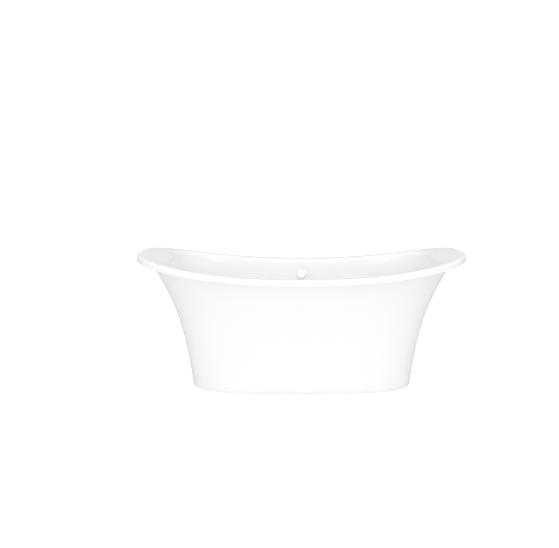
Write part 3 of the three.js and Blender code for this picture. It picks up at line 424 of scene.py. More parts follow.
# %% Skirt and basin sizes
LIP_HEIGHT_SIDE = 0.030
LIP_HEIGHT_END = 0.033
LIP_RADIUS = 0.009
BASIN_WALL = 0.006
FLANGE_RECESS = 0.002
SKIRT_FLOOR_GAP = 0.002
SKIRT_TOP_MID = RIM_HEIGHT_MID - LIP_HEIGHT_SIDE + FLANGE_RECESS
SKIRT_TOP_END = RIM_HEIGHT_END - LIP_HEIGHT_END + FLANGE_RECESS

Flare = namedtuple("Flare", "base top lean power")
END_FLARE = Flare(base=0.618, top=RIM_HALF_LENGTH - 0.062, lean=0.086, power=2.8)
SIDE_FLARE = Flare(base=0.286, top=RIM_HALF_WIDTH - 0.022, lean=0.017, power=2.2)


def flare_at(flare, share):
    """Half the skirt's length or width, from 0 at the floor to 1 under the rim."""
    spread = flare.top - flare.base - flare.lean
    return flare.base + flare.lean * share + spread * share ** flare.power


def skirt_share(height, top):
    return (height - SKIRT_FLOOR_GAP) / (top - SKIRT_FLOOR_GAP)


FLOOR_HEIGHT = 0.215
FLOOR_FALL = 0.0025
DISH_DEPTH = 0.003
DRAIN_HOLE_RADIUS = 0.026
DISH_INNER_RADIUS = 0.042
DISH_OUTER_RADIUS = 0.046
WALL_FOOT_HEIGHT = 0.300
FILLET_REACH = 0.050
ROLL_LEVEL_SHARE = 0.45
ROUND = 2
FLOOR_SQUARENESS = 2.9
WALL_SQUARENESS = 4.8

Drawing = namedtuple("Drawing", "edge top lip deck_width deck_fall foot crest bow roll_reach roll_fall fillet_run")


def make_drawing(half, top, flare, skirt_top, cavity_foot, cavity_top, roll_drop, at_rim, **rest):
    """One of the two sections. The wall stands off the skirt by a cavity that hides pipes and feet."""
    foot_x = flare_at(flare, skirt_share(WALL_FOOT_HEIGHT, skirt_top)) - cavity_foot
    crest_share = 1 if at_rim else skirt_share(top - roll_drop, skirt_top)
    crest_x = flare_at(flare, crest_share) - cavity_top
    return Drawing(edge=half, top=top, foot=Vector((foot_x, WALL_FOOT_HEIGHT)),
                   crest=Vector((crest_x, top - roll_drop)), **rest)


side_drawing = make_drawing(
    RIM_HALF_WIDTH, RIM_HEIGHT_MID, SIDE_FLARE, SKIRT_TOP_MID,
    cavity_foot=0.0598, cavity_top=0.048, roll_drop=0.040, at_rim=True,
    lip=LIP_HEIGHT_SIDE, deck_width=0.040, deck_fall=0.0015, bow=0, roll_reach=0.024, roll_fall=0.001,
    fillet_run=0.080)
end_drawing = make_drawing(
    RIM_HALF_LENGTH, RIM_HEIGHT_END, END_FLARE, SKIRT_TOP_END,
    cavity_foot=0.057, cavity_top=0.076, roll_drop=0.060, at_rim=False,
    lip=LIP_HEIGHT_END, deck_width=0.034, deck_fall=0.006, bow=0.008, roll_reach=0.036, roll_fall=0.013,
    fillet_run=0.110)
print("wall foot at", round(side_drawing.foot.x, 4), "and", round(end_drawing.foot.x, 4))

# %% [markdown]
# Three kinds of stretch are enough for the section: straight lines, Bezier curves and arcs. Each one goes on where
# the last one ended, so it leaves out its own first point. The bends get many steps and the flat parts few. The
# dry side is the same run of points, moved through the wall.

# %% Stretches of the section
DISH_STEPS = 2
SLOPE_STEPS = 6
FLOOR_STEPS = 8
BEND_STEPS = 14
DECK_STEPS = 4
LIP_ROUND_STEPS = 8
LIP_STEPS = 3


def line(start, end, steps):
    return [start.lerp(end, step / steps) for step in range(1, steps + 1)]


def bezier(start, handle, other_handle, end, steps):
    corners = [corner.to_3d() for corner in (start, handle, other_handle, end)]
    return [point.to_2d() for point in geometry.interpolate_bezier(*corners, steps + 1)[1:]]


def arc(centre, radius, start_angle, end_angle, steps):
    angles = [mix(start_angle, end_angle, step / steps) for step in range(1, steps + 1)]
    return [centre + radius * Vector((math.cos(angle), math.sin(angle))) for angle in angles]


def wet_side(drawing):
    """Points from the drain hole, over the floor, up the wall and over the rim, with a squareness for each."""
    floor_edge = Vector((drawing.foot.x - drawing.fillet_run, FLOOR_HEIGHT + FLOOR_FALL))
    dish_floor = FLOOR_HEIGHT - DISH_DEPTH
    across = drawing.crest - drawing.foot
    inward = Vector((-across.y, across.x)).normalized()
    bulge = (drawing.foot + drawing.crest) / 2 + inward * 2 * drawing.bow
    fillet_end = drawing.foot + (drawing.foot - bulge).normalized() * FILLET_REACH
    roll_start = drawing.crest + (drawing.crest - bulge).normalized() * drawing.roll_reach
    deck_inner = Vector((drawing.edge - drawing.deck_width, drawing.top - drawing.deck_fall))
    roll_level_x = mix(deck_inner.x, drawing.crest.x, ROLL_LEVEL_SHARE)
    roll_level = Vector((roll_level_x, deck_inner.y - drawing.roll_fall))
    lip_centre = Vector((drawing.edge - LIP_RADIUS, drawing.top - LIP_RADIUS))
    dish_mouth = Vector((DISH_INNER_RADIUS, dish_floor))
    dish_rim = Vector((DISH_OUTER_RADIUS, FLOOR_HEIGHT))
    dish_middle = (dish_mouth + dish_rim) / 2

    start = Vector((DRAIN_HOLE_RADIUS, dish_floor))
    stretches = [
        (ROUND, ROUND, [start]),
        (ROUND, ROUND, line(start, dish_mouth, DISH_STEPS)),
        (ROUND, ROUND, bezier(dish_mouth, Vector((dish_middle.x, dish_floor)),
                              Vector((dish_middle.x, FLOOR_HEIGHT)), dish_rim, SLOPE_STEPS)),
        (ROUND, FLOOR_SQUARENESS, line(dish_rim, floor_edge, FLOOR_STEPS)),
        (FLOOR_SQUARENESS, WALL_SQUARENESS, bezier(floor_edge, floor_edge + Vector((FILLET_REACH, 0)), fillet_end,
                                                   drawing.foot, BEND_STEPS)),
        (WALL_SQUARENESS, WALL_SQUARENESS, bezier(drawing.foot, drawing.foot.lerp(bulge, 2 / 3),
                                                  drawing.crest.lerp(bulge, 2 / 3), drawing.crest, BEND_STEPS)),
        (WALL_SQUARENESS, RIM_SQUARENESS, bezier(drawing.crest, roll_start, roll_level, deck_inner, BEND_STEPS)),
        (RIM_SQUARENESS, RIM_SQUARENESS, line(deck_inner, Vector((lip_centre.x, drawing.top)), DECK_STEPS)),
        (RIM_SQUARENESS, RIM_SQUARENESS, arc(lip_centre, LIP_RADIUS, math.pi / 2, 0, LIP_ROUND_STEPS)),
        (RIM_SQUARENESS, RIM_SQUARENESS, line(Vector((drawing.edge, lip_centre.y)),
                                              Vector((drawing.edge, drawing.top - drawing.lip)), LIP_STEPS)),
    ]
    points, squareness = [], []
    for low, high, stretch in stretches:
        for step, point in enumerate(stretch, start=1):
            points.append(point)
            squareness.append(mix(low, high, step / len(stretch)))
    return points, squareness


def dry_side(wet):
    """The same points moved through the wall."""
    dry = []
    for index, point in enumerate(wet):
        before, after = wet[max(index - 1, 0)], wet[min(index + 1, len(wet) - 1)]
        along = (after - before).normalized()
        dry.append(point + Vector((along.y, -along.x)) * BASIN_WALL)
    dry[0] = wet[0] - Vector((0, BASIN_WALL))
    dry[-1] = wet[-1] - Vector((BASIN_WALL, 0))
    return dry


print("levels on the wet side:", len(wet_side(side_drawing)[0]))

# %% [markdown]
# ## The basin
#
# The wet side is lofted from the drain hole up and out over the rim to the foot of the lip, and the dry side
# comes back inside it, one wall's thickness away. The hole for the overflow is then cut through the far wall
# with a Boolean, because it lies across the levels.

# %% Basin shell
OVERFLOW_DROP = 0.098
OVERFLOW_HOLE_RADIUS = 0.020


def basin_levels():
    side_wet, squareness = wet_side(side_drawing)
    end_wet, _ = wet_side(end_drawing)
    wet, dry = [[Level(end.x, side.x, side.y, end.y, square) for side, end, square in zip(sides, ends, squareness)]
                for sides, ends in ((side_wet, end_wet), (dry_side(side_wet), dry_side(end_wet)))]
    return wet + dry[::-1]


def far_wall(height):
    """How much the middle of the far wall leans, and how far back its wet side is at a height."""
    foot, crest = side_drawing.foot, side_drawing.crest
    lean = math.atan2(crest.x - foot.x, crest.y - foot.y)
    return lean, foot.x + (height - foot.y) * math.tan(lean)


def overflow_matrix():
    """The overflow's own frame: +Z points into the bath, square to the far wall."""
    height = RIM_HEIGHT_MID - OVERFLOW_DROP
    lean, back = far_wall(height)
    return Matrix.Translation((0, back, height)) @ Matrix.Rotation(math.pi / 2 - lean, 4, "X")


def make_basin():
    hole = bmesh.new()
    bmesh.ops.create_cone(hole, cap_ends=True, segments=64, radius1=OVERFLOW_HOLE_RADIUS,
                          radius2=OVERFLOW_HOLE_RADIUS, depth=2 * OVERFLOW_HOLE_RADIUS)
    return boolean(loft(basin_levels()), moved(hole, overflow_matrix()), "DIFFERENCE")


finish_piece(make_basin(), "basin_shell", basin_acrylic, flats=False)

# %% [markdown]
# ## The skirt
#
# The skirt is a second closed loft. It stands almost upright at the floor and flares out faster and faster, so
# its width follows a straight lean plus a power of the height. A flange at the top is bonded up inside the lip,
# and a short return stiffens the edge at the floor.

# %% Outer skirt
SKIRT_WALL = 0.005
SKIRT_RETURN = 0.018
SKIRT_RETURN_THICKNESS = 0.004
SKIRT_FLANGE = 0.004
SKIRT_EDGE = 0.003
SKIRT_EDGE_STEPS = 4
SKIRT_BASE_SQUARENESS = 3.77
SKIRT_STEPS = 44
INNER_STEPS = 22
FLANGE_INSET = 0.007


def skirt_level(share, inset, lift=0.0):
    return Level(
        flare_at(END_FLARE, share) - inset,
        flare_at(SIDE_FLARE, share) - inset,
        mix(SKIRT_FLOOR_GAP, SKIRT_TOP_MID, share) + lift,
        mix(SKIRT_FLOOR_GAP, SKIRT_TOP_END, share) + lift,
        mix(SKIRT_BASE_SQUARENESS, RIM_SQUARENESS, share),
    )


def flange_level(lift):
    return Level(RIM_HALF_LENGTH - FLANGE_INSET, RIM_HALF_WIDTH - FLANGE_INSET, SKIRT_TOP_MID + lift,
                 SKIRT_TOP_END + lift, RIM_SQUARENESS)


def skirt_levels():
    edge_share = SKIRT_EDGE / (SKIRT_TOP_MID - SKIRT_FLOOR_GAP)
    angles = [step * math.pi / (2 * SKIRT_EDGE_STEPS) for step in range(SKIRT_EDGE_STEPS)]
    edge = [skirt_level(edge_share * (1 - math.cos(angle)), SKIRT_EDGE * (1 - math.sin(angle)))
            for angle in angles]
    outer = [skirt_level(mix(edge_share, 1, step / SKIRT_STEPS), 0) for step in range(SKIRT_STEPS + 1)]
    inner = [skirt_level(share, SKIRT_WALL, SKIRT_FLANGE * share)
             for share in (1 - step / INNER_STEPS for step in range(INNER_STEPS))]
    foot = [skirt_level(0, SKIRT_WALL, SKIRT_RETURN_THICKNESS),
            skirt_level(0, SKIRT_WALL + SKIRT_RETURN, SKIRT_RETURN_THICKNESS),
            skirt_level(0, SKIRT_WALL + SKIRT_RETURN)]
    return foot[2:] + edge + outer + [flange_level(0), flange_level(SKIRT_FLANGE)] + inner + foot[:2]


finish_piece(loft(skirt_levels()), "outer_skirt", flats=False)

# %% [markdown]
# ## The bead of adhesive
#
# The skirt's flange is bonded to the rim from below. The bead runs round between the two edges of the flange,
# and its section is a small rounded bar, so its levels go once round that section.

# %% Adhesive bead
BEAD_START = 0.5
BEAD_END = 0.85
BEAD_LOW = 0.0007
BEAD_HEIGHT = 0.010
BEAD_ROUNDNESS = 0.4
BEAD_STEPS = 24


def round_bar(turn):
    """Across and up, from -1 to 1, at an angle round a bar with rounded corners."""
    return [math.copysign(abs(value) ** BEAD_ROUNDNESS, value) for value in (math.cos(turn), math.sin(turn))]


def bead_levels():
    inner = skirt_level(1, SKIRT_WALL, SKIRT_FLANGE)
    outer = flange_level(SKIRT_FLANGE)
    levels = []
    for step in range(BEAD_STEPS):
        across, up = round_bar(step / BEAD_STEPS * 2 * math.pi)
        share = mix(BEAD_START, BEAD_END, (1 + across) / 2)
        lift = BEAD_LOW + BEAD_HEIGHT * (1 + up) / 2
        levels.append(Level(
            mix(inner.half_length, outer.half_length, share), mix(inner.half_width, outer.half_width, share),
            inner.height_mid + lift, inner.height_end + lift, RIM_SQUARENESS))
    return levels


finish_piece(loft(bead_levels()), "rim_bond_bead", flats=False)

# %% [markdown]
# ## Turned pieces
#
# Most fittings are bodies of revolution. Each is drawn as a half-section of radius and height and spun once
# round +Z. Arms, ports and holes are added afterwards with Booleans. How far a fitting reaches is read from its
# construction piece, so that it meets its neighbours.

# %% Clearances and reaches
GAP = 0.0003
THREAD_GAP = 0.0005
CUT = 0.002


def middle(node):
    low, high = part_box(node)
    return (low + high) / 2


def extent(node):
    """Half the width of a construction piece across the bath, its lowest point and its highest."""
    low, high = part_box(node)
    return (high.y - low.y) / 2, low.z, high.z


print("the drain reaches from", *(round(value, 4) for value in extent("drain_flange")[1:]))

# %% [markdown]
# An outline is softened before it is spun. A short curve takes the place of each corner, and it never uses up more
# than a part of the two sides. Neither a casting nor a lathe leaves a sharp corner, and a soft one catches light.

# %% Spinning a half-section
LONGEST_ROUNDING = 0.4


def soften(points, radius, closed=False, steps=3):
    """The same outline with its corners rounded. The ends of an open outline stay."""
    points = [Vector(point) for point in points]
    soft = []
    for index, corner in enumerate(points):
        if not closed and index in (0, len(points) - 1):
            soft.append(corner)
            continue
        before, after = points[index - 1] - corner, points[(index + 1) % len(points)] - corner
        reach = min(radius, LONGEST_ROUNDING * before.length, LONGEST_ROUNDING * after.length)
        start, end = corner + before.normalized() * reach, corner + after.normalized() * reach
        for step in range(steps + 1):
            share = step / steps
            soft.append(start.lerp(corner, share).lerp(corner.lerp(end, share), share))
    return soft


def turned(outline, rounding=0.0, steps=64):
    """A body of revolution about +Z: an outline of (radius, height) is softened and spun once round. An outline
    that starts off the axis is closed."""
    closed = outline[0][0] > 0
    points = soften(outline, rounding, closed) if rounding else outline
    bm = bmesh.new()
    verts = [bm.verts.new((radius, 0, height)) for radius, height in points]
    edges = [bm.edges.new(pair) for pair in zip(verts, verts[1:])]
    if closed:
        edges.append(bm.edges.new((verts[-1], verts[0])))
    bmesh.ops.spin(bm, geom=verts + edges, cent=(0, 0, 0), axis=(0, 0, 1), angle=2 * math.pi, steps=steps,
                   use_merge=True)
    bmesh.ops.remove_doubles(bm, verts=bm.verts, dist=1e-6)
    bmesh.ops.recalc_face_normals(bm, faces=bm.faces)
    return bm


def rod(radius, low, high, steps=48):
    return turned([(0, low), (radius, low), (radius, high), (0, high)], steps=steps)


def tube(outer, inner, low, high, rounding):
    return turned([(inner, low), (outer, low), (outer, high), (inner, high)], rounding)


def drilled(bm, radius, low, high, place=Matrix.Identity(4), steps=32):
    """The bmesh with a round hole in it, between two heights."""
    return boolean(bm, moved(rod(radius, low, high, steps), place), "DIFFERENCE")


print("a rounding takes at most", LONGEST_ROUNDING, "of a side")

# %% [markdown]
# Not everything is round. A block is a cube with bevelled edges, a screw thread is a zigzag in the outline before
# it is spun, and a grip for the fingers is pressed into the side of a spun nut.

# %% Blocks, threads and grips
def rounded(bm, edges, offset, segments):
    bmesh.ops.bevel(bm, geom=edges, offset=offset, segments=segments, profile=0.5, affect="EDGES", material=-1)
    return bm


def slab(size, centre, rounding=0.0):
    """A block with rounded edges."""
    bm = bmesh.new()
    bmesh.ops.create_cube(bm, size=1)
    bmesh.ops.scale(bm, vec=size, verts=bm.verts)
    bmesh.ops.translate(bm, vec=centre, verts=bm.verts)
    return rounded(bm, bm.edges[:], rounding, 3) if rounding else bm


def thread(radius, low, high, pitch, depth):
    """The outside of a screw thread, as (radius, height) points from low to high."""
    count = round((high - low) / pitch)
    step = (high - low) / count
    points = []
    for turn in range(count):
        points += [(radius - depth, low + turn * step), (radius, low + (turn + 0.5) * step)]
    return points + [(radius - depth, high)]


def flute(bm, above, count, depth):
    """Presses upright grooves into everything farther out than a radius, as on a hand-tightened nut."""
    for vert in bm.verts:
        radius = vert.co.xy.length
        if radius > above:
            groove = depth * (1 - math.cos(count * math.atan2(vert.co.y, vert.co.x))) / 2
            vert.co.xy *= (radius - groove) / radius
    return bm


print("a thread of ten turns has", len(thread(0.003, 0, 0.010, 0.001, 0.0005)), "points")

# %% [markdown]
# The spring and the hose are circles that travel along a path. A station holds the circle's centre, its two
# directions and its radius, and the same skin as for the mouldings joins the stations.

# %% Sweeping a circle along a path
Station = namedtuple("Station", "centre across up radius")


def station_point(station, turn):
    return station.centre + station.radius * (math.cos(turn) * station.across + math.sin(turn) * station.up)


def sweep(stations, points, closed=False):
    """A round wire through the stations, capped at its ends, or a tube whose stations come back inside it."""
    return skin(stations, station_point, points, closed)


print("a station has", *Station._fields)

# %% [markdown]
# ## The overflow
#
# A satin chrome dome hangs on the far wall, with a slot at its bottom edge where the water runs in. Behind it
# are a faceplate with a spoked middle, one long screw, a gasket, and an elbow that turns the water down. All of
# them are drawn about +Z and then moved to the overflow's own frame. The dome is spun from a half-section whose
# top is one Bezier stretch, and the slot is cut with a block.

# %% Overflow cover
overflow_frame = overflow_matrix()
CROWN_STEPS = 24
COVER_RADIUS = 0.0275
COVER_FRONT = GAP + 0.011
COVER_DOME = 0.003
COVER_CROWN = 0.6
COVER_WALL = 0.0022
COVER_EDGE = 0.003
NOTCH_DEPTH = 0.0055
NOTCH_ANGLE = math.pi / 3


def make_cover():
    top, ceiling, inner = COVER_FRONT + COVER_DOME, COVER_FRONT - COVER_WALL, COVER_RADIUS - COVER_WALL
    edge = Vector((COVER_RADIUS, COVER_FRONT - COVER_EDGE))
    dome = bezier(edge, Vector((COVER_RADIUS, COVER_FRONT)), Vector((COVER_RADIUS * COVER_CROWN, top)),
                  Vector((0, top)), CROWN_STEPS)
    inside = soften([(0, ceiling), (inner, ceiling), (inner, GAP), (COVER_RADIUS, GAP), edge], radius=0.0008)
    notch = slab((2 * COVER_RADIUS * math.sin(NOTCH_ANGLE), COVER_RADIUS, 2 * (GAP + NOTCH_DEPTH)),
                 (0, -COVER_RADIUS, 0))
    return boolean(turned(inside + dome, steps=96), notch, "DIFFERENCE")


finish_piece(moved(make_cover(), overflow_frame), "overflow_cover", satin_chrome)

# %% [markdown]
# The faceplate carries the cover. It is a ring with a neck that goes into the wall's hole, with two crossed
# spokes and a hub for the screw. One Boolean joins each spoke. They are sunk by different amounts, so that no
# faces coincide, which a Boolean handles badly.

# %% Overflow faceplate
SCREW_RADIUS = 0.003
SCREW_BORE = SCREW_RADIUS + GAP
PLATE_FACE = GAP + 0.0022
NECK_OUTER = OVERFLOW_HOLE_RADIUS - THREAD_GAP
NECK_INNER = NECK_OUTER - 0.0024
NECK_BACK = 0.001 - BASIN_WALL
SPOKE_WIDTH = 0.004
SPOKE_BACK = -0.001
SPOKE_INSET = 0.0002
HUB_RADIUS = 0.0065
HUB_BACK = -0.002


def make_faceplate():
    outer = COVER_RADIUS - COVER_WALL - GAP
    plate = turned([(NECK_INNER, NECK_BACK), (NECK_OUTER, NECK_BACK), (NECK_OUTER, GAP), (outer, GAP),
                    (outer, PLATE_FACE), (NECK_INNER, PLATE_FACE)], rounding=0.0006)
    for index in range(2):
        inset = SPOKE_INSET * (1 + index / 2)
        spoke = slab((NECK_INNER + NECK_OUTER, SPOKE_WIDTH, PLATE_FACE - SPOKE_BACK - 2 * inset),
                     (0, 0, (PLATE_FACE + SPOKE_BACK) / 2), rounding=0.0005)
        plate = boolean(plate, moved(spoke, Matrix.Rotation(index * math.pi / 2, 4, "Z")), "UNION")
    plate = boolean(plate, rod(HUB_RADIUS, HUB_BACK, PLATE_FACE), "UNION")
    return drilled(plate, SCREW_BORE, HUB_BACK - CUT, PLATE_FACE + CUT)


finish_piece(moved(make_faceplate(), overflow_frame), "overflow_faceplate")

# %% [markdown]
# One long stainless screw pulls the faceplate and the elbow together through the wall. Its thread is a zigzag in
# the spun outline: rings and not a helix, which looks the same at this size and stays closed. The cross is cut
# with two blocks.

# %% Overflow screw
SCREW_SEAT = PLATE_FACE + GAP
SCREW_LENGTH = 0.026
SCREW_PITCH = 0.001
SCREW_SHANK = 0.004
HEAD_RADIUS = 0.0055
HEAD_HEIGHT = 0.003
HEAD_BEVEL = 0.001


def cross_recess(bm, height, depth, reach, width):
    """Cuts the cross for a screwdriver into the top of a head."""
    for size in ((reach, width), (width, reach)):
        bm = boolean(bm, slab((*size, 2 * depth), (0, 0, height)), "DIFFERENCE")
    return bm


def make_overflow_screw():
    tip, top = SCREW_SEAT - SCREW_LENGTH, SCREW_SEAT + HEAD_HEIGHT
    outline = [(0, tip), (0.6 * SCREW_RADIUS, tip)]
    outline += thread(SCREW_RADIUS, tip + SCREW_PITCH, SCREW_SEAT - SCREW_SHANK, SCREW_PITCH, SCREW_PITCH / 2)
    outline += [(SCREW_RADIUS, SCREW_SEAT - SCREW_SHANK + SCREW_PITCH / 2)]
    outline += soften([(SCREW_RADIUS, SCREW_SEAT), (HEAD_RADIUS, SCREW_SEAT), (HEAD_RADIUS, top - HEAD_BEVEL),
                       (HEAD_RADIUS - HEAD_BEVEL, top), (0, top)], radius=0.0005)
    return cross_recess(turned(outline, steps=32), top, depth=HEAD_HEIGHT / 2, reach=0.005, width=0.0012)


finish_piece(moved(make_overflow_screw(), overflow_frame), "overflow_screw")

# %% [markdown]
# Behind the wall a rubber gasket lies under the flange of the elbow. The elbow is a round box, open to the hole,
# with a post for the screw and an outlet that points down. The outlet is joined as a rod and then bored, so the
# bore also opens the box.

# %% Overflow gasket and elbow
GASKET_FRONT = -BASIN_WALL - GAP
GASKET_BACK = GASKET_FRONT - 0.002
ELBOW_FRONT = GASKET_BACK - GAP
ELBOW_BACK = ELBOW_FRONT - 0.0244
ELBOW_AXIS = ELBOW_FRONT - 0.014
ELBOW_RADIUS = 0.024
ELBOW_WALL = 0.0024
ELBOW_FLANGE = 0.004
ELBOW_OUTLET = 0.040
OUTLET_ROOT = 0.021
OUTLET_BORE_ROOT = 0.0165
POST_WALL = 0.0025
POST_SETBACK = 0.008
PORT_RADIUS = 0.0108
PORT_BORE = 0.0083
PORT_STEPS = 48


def make_elbow():
    inner, floor, collar = ELBOW_RADIUS - ELBOW_WALL, ELBOW_BACK + ELBOW_WALL, ELBOW_FRONT - ELBOW_FLANGE
    flange = ELBOW_RADIUS + ELBOW_FLANGE
    body = turned([(0, ELBOW_BACK), (ELBOW_RADIUS, ELBOW_BACK), (ELBOW_RADIUS, collar), (flange, collar),
                   (flange, ELBOW_FRONT), (inner, ELBOW_FRONT), (inner, floor), (0, floor)], rounding=0.0015)
    downwards = Matrix.Translation((0, 0, ELBOW_AXIS)) @ Matrix.Rotation(math.pi / 2, 4, "X")
    body = boolean(body, moved(rod(PORT_RADIUS, OUTLET_ROOT, ELBOW_OUTLET), downwards), "UNION")
    post = rod(SCREW_RADIUS + POST_WALL, ELBOW_BACK + ELBOW_WALL / 2, ELBOW_FRONT - POST_SETBACK, 32)
    body = boolean(body, post, "UNION")
    body = drilled(body, PORT_BORE, OUTLET_BORE_ROOT, ELBOW_OUTLET + CUT, downwards, PORT_STEPS)
    return drilled(body, SCREW_BORE, ELBOW_BACK + SCREW_RADIUS, ELBOW_FRONT)


gasket = tube(ELBOW_RADIUS + ELBOW_FLANGE, OVERFLOW_HOLE_RADIUS + 3 * THREAD_GAP, GASKET_BACK, GASKET_FRONT,
              rounding=0.0006)
finish_piece(moved(gasket, overflow_frame), "overflow_gasket")
finish_piece(moved(make_elbow(), overflow_frame), "overflow_elbow")

# %% [markdown]
# ## The drain
#
# The chrome flange screws down through the floor with a gasket on each side. It is spun as one closed outline,
# thread and all. Three crossed arms and a hub are then joined inside it, and they carry the plug's cartridge.

# %% Drain flange
DISC_RADIUS, TUBE_BOTTOM, DISC_TOP = extent("drain_flange")
DISC_BOTTOM = DISC_TOP - 0.0025
DISC_EDGE = 0.001
DISC_BEVEL = 0.003
DRAIN_TUBE = 0.0245
DRAIN_BORE = 0.020
DRAIN_PITCH = 0.0022
DRAIN_THREAD = 0.0008
THREAD_END = DISC_BOTTOM - 0.010
MOUTH_WIDTH = 0.002
MOUTH_DEPTH = 0.003
ARMS_HIGH = DISC_TOP - 0.046
ARMS_LOW = ARMS_HIGH - 0.005
ARM_WIDTH = 0.004
ARM_HUB_RADIUS = 0.007
ARM_HUB_DROP = 0.002
SPIGOT_RADIUS = 0.0029


def make_drain_flange():
    shank = (DRAIN_TUBE, THREAD_END + 0.001)
    outside = [(DRAIN_TUBE - DRAIN_THREAD, TUBE_BOTTOM)]
    outside += thread(DRAIN_TUBE, TUBE_BOTTOM + 0.001, THREAD_END, DRAIN_PITCH, DRAIN_THREAD)
    disc = soften([
        shank, (DRAIN_TUBE, DISC_BOTTOM), (DISC_RADIUS, DISC_BOTTOM), (DISC_RADIUS, DISC_BOTTOM + DISC_EDGE),
        (DISC_RADIUS - DISC_BEVEL, DISC_TOP), (DRAIN_BORE + MOUTH_WIDTH, DISC_TOP),
        (DRAIN_BORE, DISC_TOP - MOUTH_DEPTH), (DRAIN_BORE, TUBE_BOTTOM)], radius=0.0008)
    body = turned(outside + disc, steps=96)
    for turn in range(3):
        arm = slab((DRAIN_TUBE + DRAIN_BORE, ARM_WIDTH, ARMS_HIGH - ARMS_LOW), (0, 0, (ARMS_LOW + ARMS_HIGH) / 2),
                   rounding=0.0006)
        body = boolean(body, moved(arm, Matrix.Rotation(turn * math.pi / 3, 4, "Z")), "UNION")
    body = boolean(body, rod(ARM_HUB_RADIUS, ARMS_LOW - ARM_HUB_DROP, ARMS_HIGH), "UNION")
    return drilled(body, SPIGOT_RADIUS + GAP, ARMS_LOW - ARM_HUB_DROP - CUT, ARMS_HIGH + CUT)


finish_piece(make_drain_flange(), "drain_flange")

# %% [markdown]
# Between the flange and the floor, and between the floor and the waste, lies a flat rubber ring. Both are plain
# tubes as tall as their construction pieces.

# %% Drain gaskets
for node, rounding in (("drain_top_gasket", 0.0005), ("drain_under_gasket", 0.0008)):
    outer, low, high = extent(node)
    finish_piece(tube(outer, DRAIN_TUBE + THREAD_GAP, low, high, rounding), node)

# %% [markdown]
# The click-clack cartridge is a small chrome barrel that stands in the hub of the arms. Its lip keeps the stem
# in. The stem has a collar that slides inside the barrel and a thinner guide that the spring goes round.

# %% Barrel and stem of the cartridge
BARREL_RADIUS, BARREL_LOW, BARREL_HIGH = extent("plug_barrel")
BARREL_WALL = 0.0018
BARREL_INSIDE = BARREL_RADIUS - BARREL_WALL
BARREL_SEAT = ARMS_HIGH + GAP
BARREL_LIP = 0.002
COLLAR_RADIUS, STEM_LOW, STEM_HIGH = extent("plug_stem")
STEM_RADIUS = 0.0034
GUIDE_RADIUS = STEM_RADIUS - 0.0006
COLLAR_LOW = STEM_LOW + 0.008
COLLAR_HIGH = COLLAR_LOW + 0.0025


def make_barrel():
    mouth, floor = STEM_RADIUS + THREAD_GAP, BARREL_SEAT + BARREL_WALL
    return turned([
        (0, BARREL_LOW), (SPIGOT_RADIUS, BARREL_LOW), (SPIGOT_RADIUS, BARREL_SEAT), (BARREL_RADIUS, BARREL_SEAT),
        (BARREL_RADIUS, BARREL_HIGH), (mouth, BARREL_HIGH), (mouth, BARREL_HIGH - BARREL_LIP),
        (BARREL_INSIDE, BARREL_HIGH - BARREL_LIP), (BARREL_INSIDE, floor), (0, floor)], rounding=0.0005, steps=48)


def make_stem():
    return turned([
        (0, STEM_LOW), (GUIDE_RADIUS, STEM_LOW), (GUIDE_RADIUS, COLLAR_LOW), (COLLAR_RADIUS, COLLAR_LOW),
        (COLLAR_RADIUS, COLLAR_HIGH), (STEM_RADIUS, COLLAR_HIGH), (STEM_RADIUS, STEM_HIGH), (0, STEM_HIGH)],
        rounding=0.0004, steps=40)


finish_piece(make_barrel(), "plug_barrel")

# %% [markdown]
# The spring pushes the plug up when the catch lets go. A wire is swept along a helix. Its foot stays with the
# bath and its top follows the plug, so it rides on neither body and stays where it is drawn.

# %% Spring
WIRE_RADIUS = 0.0007
SPRING_TURNS = 5
SPRING_STEPS = 32 * SPRING_TURNS
SPRING_RADIUS = BARREL_INSIDE - THREAD_GAP - WIRE_RADIUS
SPRING_LOW = BARREL_SEAT + BARREL_WALL + GAP + WIRE_RADIUS
SPRING_HIGH = COLLAR_LOW - GAP - WIRE_RADIUS


def spring_station(share):
    angle = share * SPRING_TURNS * 2 * math.pi
    outward = Vector((math.cos(angle), math.sin(angle), 0))
    centre = SPRING_RADIUS * outward + Vector((0, 0, mix(SPRING_LOW, SPRING_HIGH, share)))
    rise = (SPRING_HIGH - SPRING_LOW) / (SPRING_TURNS * 2 * math.pi * SPRING_RADIUS)
    along = Vector((-math.sin(angle), math.cos(angle), rise)).normalized()
    return Station(centre, outward, along.cross(outward), WIRE_RADIUS)


coil = sweep([spring_station(step / SPRING_STEPS) for step in range(SPRING_STEPS + 1)], points=12)
spring = finish_piece(coil, "plug_spring", rides=False)
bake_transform(spring)
finish_piece(make_stem(), "plug_stem")

# %% [markdown]
# The plug's cap is the low dome that the bather sees. It sits on the end of the stem with a boss, and a rubber
# ring under its edge closes the drain. Its crown is a Bezier stretch, flat in the middle and tight at the edge.

# %% Cap and seal of the plug
CAP_RADIUS, CAP_LOW, CAP_HIGH = extent("plug_cap")
CAP_UNDERSIDE = CAP_LOW + 0.005
CAP_EDGE = CAP_UNDERSIDE + 0.0016
CAP_ROUND = 0.0014
CAP_CROWN = 0.019
BOSS_RADIUS = 0.009
SEAL_WIDTH = 0.0055


